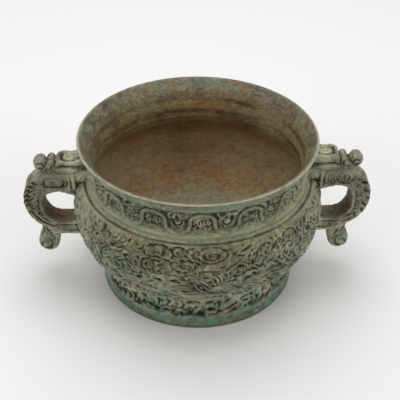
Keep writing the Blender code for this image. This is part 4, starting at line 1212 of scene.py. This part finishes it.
def old_bronze():
    """Bronze under a grey-green patina: dark with dirt and painted shade in the cuts, pale where it is
    rubbed and as a painted highlight on the ridges, paler sides as painted side light, brown inside.
    """
    use = Nodes("old_bronze")
    middle, fine = use.noise(75, 5), use.noise(300, 4, 0.7)
    grain, cast = use.noise(780, 3, 0.7), use.noise(560, 3, 0.75)
    cut_dirt_and_shade, worn_and_highlit, within = use.attribute("cut_dirt_and_shade"), use.attribute("worn_and_highlit"), use.attribute("within")
    radius, height, depth = use.cylinder_places()
    # Painted side light: the left and right sides, as seen from the front, are made paler
    side_light = use.ring(depth, 0.0, 84.0)
    shoulder = use.ring(height, 99.5, 5.5)
    warm = use.product(use.attribute("warm"), use.patches(110, 4, 0.22, 0.52))
    handles = use.band(radius, 100.5, 110.0)
    mauve = use.product(handles, use.patches(42, 4, 0.42, 0.58, 0.62))
    streaks = use.noise(60, 4, 0.65, (0.25, 0.25, 6.0))
    lip_band = use.product(use.band(height, 120.5, 123.0), use.band(radius, 88.0, 89.0))
    earthy = use.patches(38, 5, 0.51, 0.63, 0.65)
    green_share = use.product(use.attribute("green"), use.patches(95, 5, 0.32, 0.54, 0.68))
    green = use.blend(use.patches(170, 4, 0.42, 0.62), (46, 88, 70), (104, 154, 132))
    flange = use.product(use.ring(height, 8.0, 8.5), use.band(radius, 72.0, 76.0))
    rubbed_and_highlit = use.product(worn_and_highlit, use.patches(240, 4, 0.32, 0.56),
                         use.maths("MULTIPLY_ADD", flange, -0.55, 1.0),
                         use.maths("MULTIPLY_ADD", lip_band, -0.45, 0.92),
                         use.maths("MULTIPLY_ADD", handles, -0.45, 1.0))
    pale = use.coats(use.blend(use.patches(140, 4, 0.35, 0.65), (196, 188, 156), (156, 170, 142)),
                     ((134, 168, 148), green_share, 0.6), ((164, 142, 92), warm, 0.85))
    rust = use.blend(use.patches(40, 4, 0.42, 0.6), (96, 68, 42), (100, 92, 66))
    # The rim's crest: rubbed metal and a painted highlight along it
    rim = use.product(use.band(radius, 94.4, 94.8), use.ring(radius, 95.2, 0.9),
                      use.band(height, 132.2, 132.7))
    front = use.band(depth, 55.0, -20.0)
    ground = use.coats(
        use.blend(use.patches(22, 4, 0.38, 0.60), (120, 120, 92), (102, 96, 64)),
        ((142, 138, 110), use.band(middle, 0.46, 0.66)),
        # Painted side light: paler on the left and right sides
        ((176, 178, 150), side_light, 0.80),
        ((164, 166, 140), use.band(height, 62.0, 34.0), 0.45),
        ((160, 162, 132), shoulder, 0.6),
        ((116, 84, 42), warm, 0.9),
        ((104, 92, 84), mauve, 0.75),
        ((74, 58, 38), handles, use.patches(52, 4, 0.47, 0.62), 0.7),
        ((88, 82, 74), lip_band, use.band(streaks, 0.44, 0.58), 0.60),
        ((150, 150, 134), lip_band, use.band(streaks, 0.50, 0.36), 0.40),
        ((100, 76, 42), earthy, 0.6),
        (green, green_share),
        # Speckle: pits darker, grains paler
        ((66, 60, 42), use.band(fine, 0.48, 0.64), 0.50),
        ((52, 48, 32), use.band(cast, 0.46, 0.36), 0.62),
        ((182, 180, 150), use.band(cast, 0.54, 0.65), 0.62),
        ((172, 170, 142), use.band(grain, 0.54, 0.70), 0.36),
        ((50, 84, 68), flange, 0.55),
        # Pale on the ridges: wear and a painted highlight
        (pale, rubbed_and_highlit),
        ((120, 106, 98), mauve, 0.25),
        ((96, 78, 48), earthy, 0.30),
        # Painted side light: the left and right sides made paler; dust on the shoulder and the foot
        ((198, 196, 166), side_light, use.maths("SUBTRACT", 1.0, handles), use.band(height, 14.0, 20.0), 0.54),
        ((176, 176, 138), shoulder, 0.34),
        ((196, 192, 158), use.ring(height, 32.0, 28.0), 0.46),
        (green, green_share, 0.40),
        # Dirt in the cuts, and painted shade there as well
        ((58, 52, 34), cut_dirt_and_shade, 0.5),
        ((24, 21, 14), cut_dirt_and_shade, use.patches(120, 4, 0.30, 0.48), 0.96),
        (bowl_colour(use, radius, height, depth, grain), within),
        (rust, use.attribute("loop_inner"), 0.8),
        # Rubbed front of the rim and minty back, both also a painted highlight along the crest, then a
        # painted shadow under the lip in front, and the dark line at the foot's edge
        ((196, 172, 152), rim, front, use.patches(90, 3, 0.34, 0.52), 0.85),
        ((150, 176, 158), rim, use.maths("SUBTRACT", 1.0, front), use.patches(60, 4, 0.42, 0.58), 0.8),
        # Painted shadow under the rim's lip, strongest in front
        ((40, 33, 28), use.band(radius, 92.6, 93.6), use.ring(height, 130.8, 1.5),
         use.band(depth, 30.0, -30.0), 0.9),
        ((72, 64, 44), use.band(height, 4.6, 2.6), use.band(radius, 78.0, 79.0), 0.65))
    use.link(ground, use.shader["Base Color"])
    use.link(use.maths("MULTIPLY_ADD", middle, 0.22, 0.34), use.shader["Roughness"])
    use.link(use.maths("MULTIPLY_ADD", cut_dirt_and_shade, -0.42, 0.5), use.shader["Specular IOR Level"])
    use.shader["Metallic"].default_value = 0.25
    grit = use.maths("ADD", use.product(fine, 0.6), use.product(grain, 0.35))
    grit = use.maths("ADD", grit, use.product(cast, 0.55))
    use.link(use.add("Bump", "Normal", {"Strength": 0.9, "Distance": 0.0014, "Height": grit}),
             use.shader["Normal"])
    return use.material


def studio():
    """A pale floor, an even pale surround, one wide light above and two weaker ones in front."""
    bpy.ops.mesh.primitive_plane_add(size=12.0, location=(0.0, 0.0, 0.0))
    floor = named("studio_floor")
    use = Nodes("pale_floor")
    use.shader["Base Color"].default_value = (0.80, 0.79, 0.785, 1.0)
    use.shader["Roughness"].default_value = 0.9
    use.shader["Specular IOR Level"].default_value = 0.2
    floor.data.materials.append(use.material)
    world = bpy.data.worlds.new("pale_surround")
    world.use_nodes = True
    surround = world.node_tree.nodes["Background"].inputs
    surround["Color"].default_value = (1.0, 1.0, 1.0, 1.0)
    surround["Strength"].default_value = 0.42
    bpy.context.scene.world = world
    for name, place, aim, size, power in (("above", (-0.06, 0.35, 1.35), (0.0, 0.05, 0.05), 1.4, 15.0),
                                          ("front_left", (-1.4, -1.0, 1.0), (0.0, 0.0, 0.05), 1.0, 8.0),
                                          ("front_right", (1.5, -0.8, 0.9), (0.0, 0.0, 0.05), 1.0, 8.6)):
        lamp = bpy.data.lights.new(name, "AREA")
        lamp.size = size
        lamp.energy = power
        lit = bpy.data.objects.new(name, lamp)
        bpy.context.scene.collection.objects.link(lit)
        lit.location = place
        lit.rotation_euler = (Vector(aim) - Vector(place)).to_track_quat("-Z", "Y").to_euler()
    bpy.context.scene.view_settings.view_transform = "Standard"
    bpy.context.scene.view_settings.look = "None"


def camera():
    """The photograph's viewpoint: from the front, well above the rim."""
    seen = bpy.data.cameras.new("camera")
    seen.lens = 82.62
    seen.sensor_width = 36.0
    seen.clip_start = 0.05
    viewer = bpy.data.objects.new("camera", seen)
    bpy.context.scene.collection.objects.link(viewer)
    aside, tilt, roll = [math.radians(angle) for angle in (-2.09, 54.0, 0.40)]
    viewer.matrix_world = (Matrix.Rotation(aside, 4, "Z") @ Matrix.Translation((0.0020, -0.61484, 0.51578))
                           @ Matrix.Rotation(tilt, 4, "X") @ Matrix.Rotation(roll, 4, "Z"))
    bpy.context.scene.camera = viewer


burner = cast_in_one()
weather(burner)
burner.data.materials.clear()
burner.data.materials.append(old_bronze())
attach(burner, "root")
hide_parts("incense_burner")
studio()
camera()
